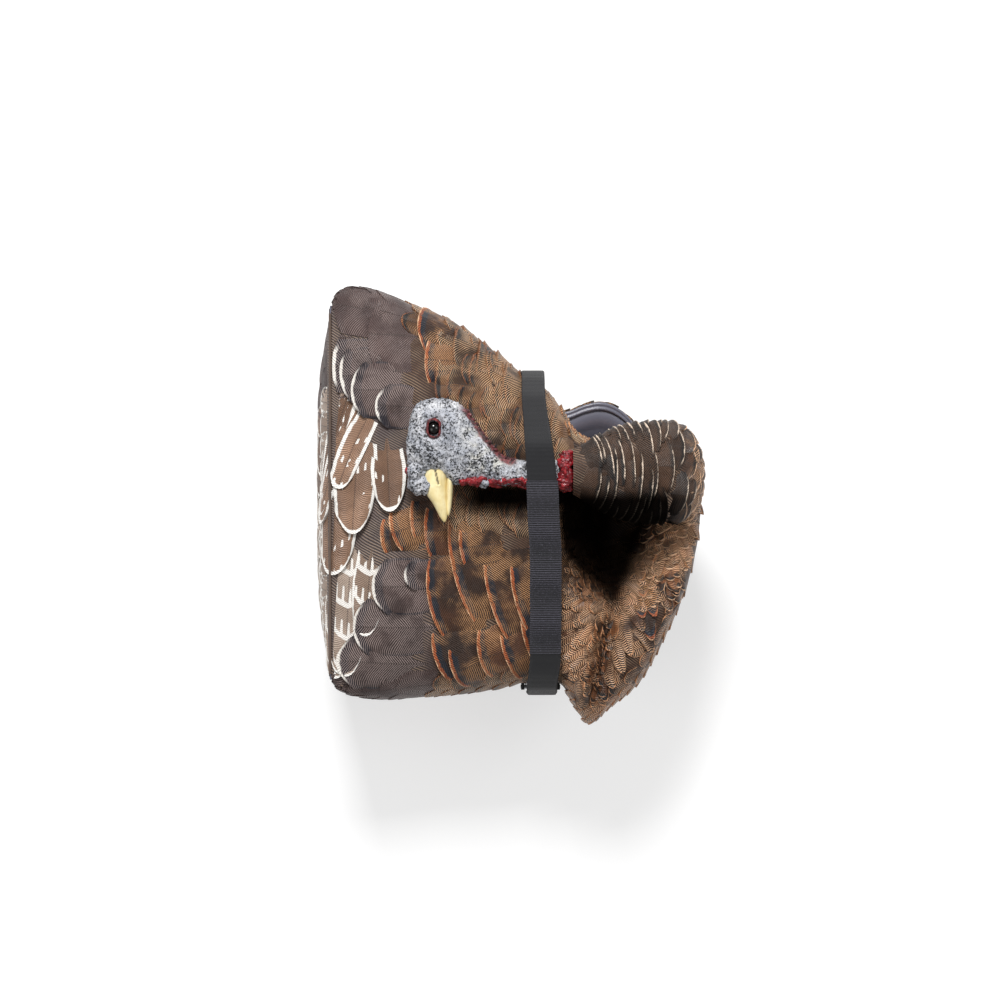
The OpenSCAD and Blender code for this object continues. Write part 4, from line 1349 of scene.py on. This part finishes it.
eye_paint = Paint("eye_glass").finish(
    srgb(9, 7, 6), 0.09, specular=0.35, Coat_Weight=0.25, Coat_Roughness=0.03)
LID_RINGS = [  # half-width, half-height and rise, from the outside in
    (7.9, 9.5, 0.2), (7.5, 9.1, 1.6), (7.1, 8.7, 2.7), (6.7, 8.3, 3.5), (6.3, 7.9, 4.1), (5.9, 7.5, 4.3),
    (5.5, 7.1, 4.0), (5.3, 6.8, 3.0),
]
for sign, eye_node, lid_node in ((1, "left_eye", "left_eyelid"), (-1, "right_eye", "right_eyelid")):
    ball = Soup()
    lump(ball, (*EYE, NECK_Z + sign * (EYE_OFF - 0.4)), (EYE_R, EYE_R, EYE_R), wobble=0.0, segments=(40, 60))
    settle(ball.build(eye_node + "_glass", [eye_paint]), "eye_gloss", "head", eye_node)
    around = np.linspace(0, 2 * math.pi, 72, endpoint=False)
    rows = []
    for k, (rx, ry, rise) in enumerate(LID_RINGS):
        pinch = 1 - 0.16 * np.cos(2 * around) ** 2
        wave = 0.32 * np.sin(9 * around + k * 1.3) * (1 if 0 < k < 6 else 0)
        rows.append(np.stack([
            EYE[0] + rx * np.cos(around) * pinch, EYE[1] + ry * np.sin(around),
            NECK_Z + sign * (16.2 + rise + wave),
        ], -1))
    lids = Soup()
    lids.grid(np.stack(rows), close=True, flip=sign < 0)
    settle(lids.build(lid_node + "_skin", [lid_paint]), "red_skin", "head", lid_node)


# ---------- the strap ----------

def webbing_paint(name, dark, light, pitch, ribbed):
    p = Paint(name)
    along, across = p.lay()
    place = p.place()
    rib = p.math("SINE", along * (2 * math.pi / pitch))
    slope = across + along * 0.5
    twill = p.math("SINE", slope * (2 * math.pi / 0.9))
    loops = p.noise(place, 900.0, 3.0)
    height = rib * 0.5 + twill * 0.25
    height = height + loops * (0.8 if ribbed else 0.3)
    # painted highlight on the weave's crests and painted shade in its hollows: the colour follows the bump
    # height
    tone = p.step(height, 0.1, 1.1)
    color = p.mix(tone, dark, light)
    if ribbed:
        fuzz = p.step(p.noise(place, 1300.0, 2.0), 0.56, 0.68)
        color = p.mix(fuzz * 0.5, color, [c * 2.4 for c in light])
    normal = p.bump(height, 0.55, 0.0004)
    return p.finish(color, 0.72, normal, 0.3, Sheen_Weight=0.25, Sheen_Roughness=0.5)


# the light colour is the painted highlight on the crests, the dark one the painted shade in the hollows
smooth_web = webbing_paint("webbing_smooth", srgb(15, 15, 18), srgb(36, 36, 41), 1.1, False)
rib_web = webbing_paint("webbing_ribbed", srgb(13, 13, 16), srgb(62, 60, 69), 2.0, True)

STRAP_LINE = [
    (-168.4, 101), (-167.4, 135), (-161.5, 158), (-146, 173), (-128, 181.5), (8, 216), (52, 216),
    (97, 180.5), (113.5, 160), (120.3, 146), (120.7, 134), (120.7, 118),
]


def rounded_line(points, step=0.5, passes=120):
    """A line of y, z points, evenly spaced and with its corners eased."""
    pts = np.array(points, float)
    seg = np.concatenate([[0], np.cumsum(np.linalg.norm(np.diff(pts, axis=0), axis=1))])
    n = int(seg[-1] / step) + 1
    t = np.linspace(0, seg[-1], n)
    line = np.stack([np.interp(t, seg, pts[:, k]) for k in (0, 1)], 1)
    for _ in range(passes):
        line[1:-1] = 0.5 * line[1:-1] + 0.25 * (line[:-2] + line[2:])
    return line


def strap_shift(y):
    """How far the strap has slid along the bundle, towards the head at its far end."""
    near = smooth((20 - y) / 70) * (1 - 0.8 * smooth((-y - 135) / 26))
    return -7.5 * smooth((y - 10) / 100) + 3.2 * near


def band(name, replaced, line, thick, width, paint, slot, body, ribs=0.04, pitch=1.1, lift=0.0, wrap=None):
    """Webbing along a line of y, z points. wrap is the y, z and reach of a bar at its start."""
    d = np.gradient(line, axis=0)
    d /= np.linalg.norm(d, axis=1)[:, None]
    n = np.stack([-d[:, 1], d[:, 0]], 1)
    along = np.concatenate([[0], np.cumsum(np.linalg.norm(np.diff(line, axis=0), axis=1))])
    rib = ribs * np.sin(2 * math.pi * along / pitch)
    across = np.concatenate([np.linspace(-1, 1, 21), np.linspace(1, -1, 21)])
    top = np.concatenate([np.ones(21), np.zeros(21)])
    soft = 1 - np.abs(across) ** 14
    still = np.zeros_like(along)
    wave = jitter(np.stack([still, along, still], 1)[None], 26, 0.5)[0]
    rows = []
    for i, (y, z) in enumerate(line):
        bulge = soft ** 0.5
        h = lift + np.where(top > 0, thick / 2 + (thick / 2 + rib[i]) * bulge, thick / 2 - thick / 2 * bulge)
        narrow = 1 - 0.2 * float(smooth((y - 20) / 90))
        half = width / 2 - 0.25 * abs(rib[i])
        x = STRAP_X + float(strap_shift(y)) + wave[i] * 0.6 + across * narrow * half
        rows.append(np.stack([x, y + n[i, 0] * h, z + n[i, 1] * h], 1))
    grid = np.array(rows)
    if wrap:
        # below its bar the sewn end stays within the roll round the bar
        off = grid[..., 1:] - np.array(wrap[:2])
        far = np.linalg.norm(off, axis=-1)
        room = wrap[2] + np.clip(off[..., 1] - 1, 0, None) * 1.6
        grid[..., 1:] = np.array(wrap[:2]) + off * np.minimum(1, room / np.maximum(far, 0.01))[..., None]
    lay = np.stack(np.broadcast_arrays(along[:, None], (across * width / 2)[None]), -1) * DATA_UNIT
    soup = Soup()
    soup.grid(grid, lay=lay, close=True)
    soup.caps(grid)
    settle(soup.build(name, [paint]), slot, body, replaced)


def cut(points, low, high=None):
    """The part of a line between two y values, counted along its rising side."""
    out = []
    for a, b in zip(points[:-1], points[1:]):
        for t in np.linspace(0, 1, 40, endpoint=False):
            y, z = a[0] + (b[0] - a[0]) * t, a[1] + (b[1] - a[1]) * t
            if (low is None or y >= low) and (high is None or y <= high):
                out.append((y, z))
    if high is None:
        out.append(points[-1])
    return out


REAR_LINE = [
    (-159.5, 91), (-156, 76), (-106, 18), (-84, 2), (72, 2), (93, 22), (112.6, 66), (112.6, 80), (117.6, 94),
    (117.6, 128), (116.6, 142),
]
BAR = (-166, 101, 3.9)  # y and z of the anchor bar, and how far the webbing's roll reaches from there
band("strap_hook", "strap_hook_band", rounded_line(cut(STRAP_LINE, -62)), STRAP_T, STRAP_W - 2,
     smooth_web, "webbing", "strap")
band("strap_loop", "strap_loop_band", rounded_line(cut(STRAP_LINE, -130, 23), 0.35, 160), STRAP_T, STRAP_W,
     rib_web, "loop_fabric", "strap", ribs=0.32, pitch=2.1, lift=STRAP_T + 0.3)
band("strap_end", "strap_end_loop", rounded_line(cut(STRAP_LINE, None, -126)), STRAP_T * 2, STRAP_W - 0.5,
     smooth_web, "webbing", "strap", wrap=BAR)
band("rear_web", "rear_webbing", rounded_line(REAR_LINE[::-1], 0.6, 90), STRAP_T, STRAP_W - 2,
     smooth_web, "webbing", "tail")
band("rear_patch", "loop_patch", rounded_line([(120, 127), (120, 100)], 0.6, 4), 0.8, STRAP_W - 4,
     rib_web, "loop_fabric", "tail", ribs=0.2, pitch=1.4)


# ---------- hidden fittings ----------

black_nylon = plain_paint("black_nylon_paint", srgb(26, 26, 28), 0.5)
white_nylon = plain_paint("white_nylon_paint", srgb(214, 212, 206), 0.42)
grey_nylon = plain_paint("grey_nylon_paint", srgb(110, 110, 112), 0.45)
aluminium = plain_paint("aluminium_paint", srgb(196, 197, 200), 0.3, 1.0)
seam_rubber = rubber_paint("seam_rubber", srgb(84, 68, 58), 0.55, 0.3)
zinc = plain_paint("zinc_paint", srgb(176, 178, 182), 0.34, 1.0)
for paint, names in (
    (black_nylon, ("stake_housing", "socket_plate", "retaining_collar", "anchor_plate", "neck_bushing")),
    (white_nylon, ("swivel_bushing",)), (grey_nylon, ("head_post",)),
    (aluminium, ("socket_rivets", "anchor_rivets")), (zinc, ("anchor_bar", "post_clip")),
    (seam_rubber, ("upper_fold_bead", "lower_fold_bead")),
):
    for name in names:
        data = nodes[name].data
        data.materials.clear()
        data.materials.append(paint)


# ---------- floor, lights and camera ----------

FLOOR_HALF = 6.0
SKY_LIGHT = 0.3
FLOOR_GLOW = 0.55  # lifts the floor to the photograph's white
CAMERA_AT = (-0.0081, 0.0054, 2.65)
LENS_MM = 100
LIGHT_AIM = Vector((0, 0, 0.1))
LIGHTS = [  # name, place, size, power
    ("key", (-0.3, 1.9, 2.2), 0.7, 84),
    ("fill", (-1.5, -0.7, 2.2), 1.4, 12),
    ("side", (1.7, 0.5, 2.2), 1.2, 14),
]

floor_mesh = bpy.data.meshes.new("floor")
corners = [(x * FLOOR_HALF, y * FLOOR_HALF, 0) for x, y in ((-1, -1), (1, -1), (1, 1), (-1, 1))]
floor_mesh.from_pydata(corners, [], [(0, 1, 2, 3)])
floor_paint = Paint("floor_paint")
floor_mesh.materials.append(floor_paint.finish(
    srgb(188, 188, 188), 0.9, specular=0.1, Emission_Color=(1, 1, 1), Emission_Strength=FLOOR_GLOW))
floor = link("floor", floor_mesh)
floor.location = (0, 0, -0.0005)

for name, location, size, power in LIGHTS:
    data = bpy.data.lights.new(name, "AREA")
    data.shape = "SQUARE"
    data.size = size
    data.energy = power
    light = link(name, data)
    light.location = location
    light.rotation_euler = (LIGHT_AIM - Vector(location)).to_track_quat("-Z", "Y").to_euler()

world = bpy.data.worlds.new("studio")
scene.world = world
world.use_nodes = True
world.node_tree.nodes["Background"].inputs[0].default_value = (1, 1, 1, 1)
world.node_tree.nodes["Background"].inputs[1].default_value = SKY_LIGHT
scene.view_settings.view_transform = "Standard"

data = bpy.data.cameras.new("camera")
data.lens = LENS_MM
data.sensor_width = 36
camera = link("camera", data)
camera.location = CAMERA_AT
scene.camera = camera
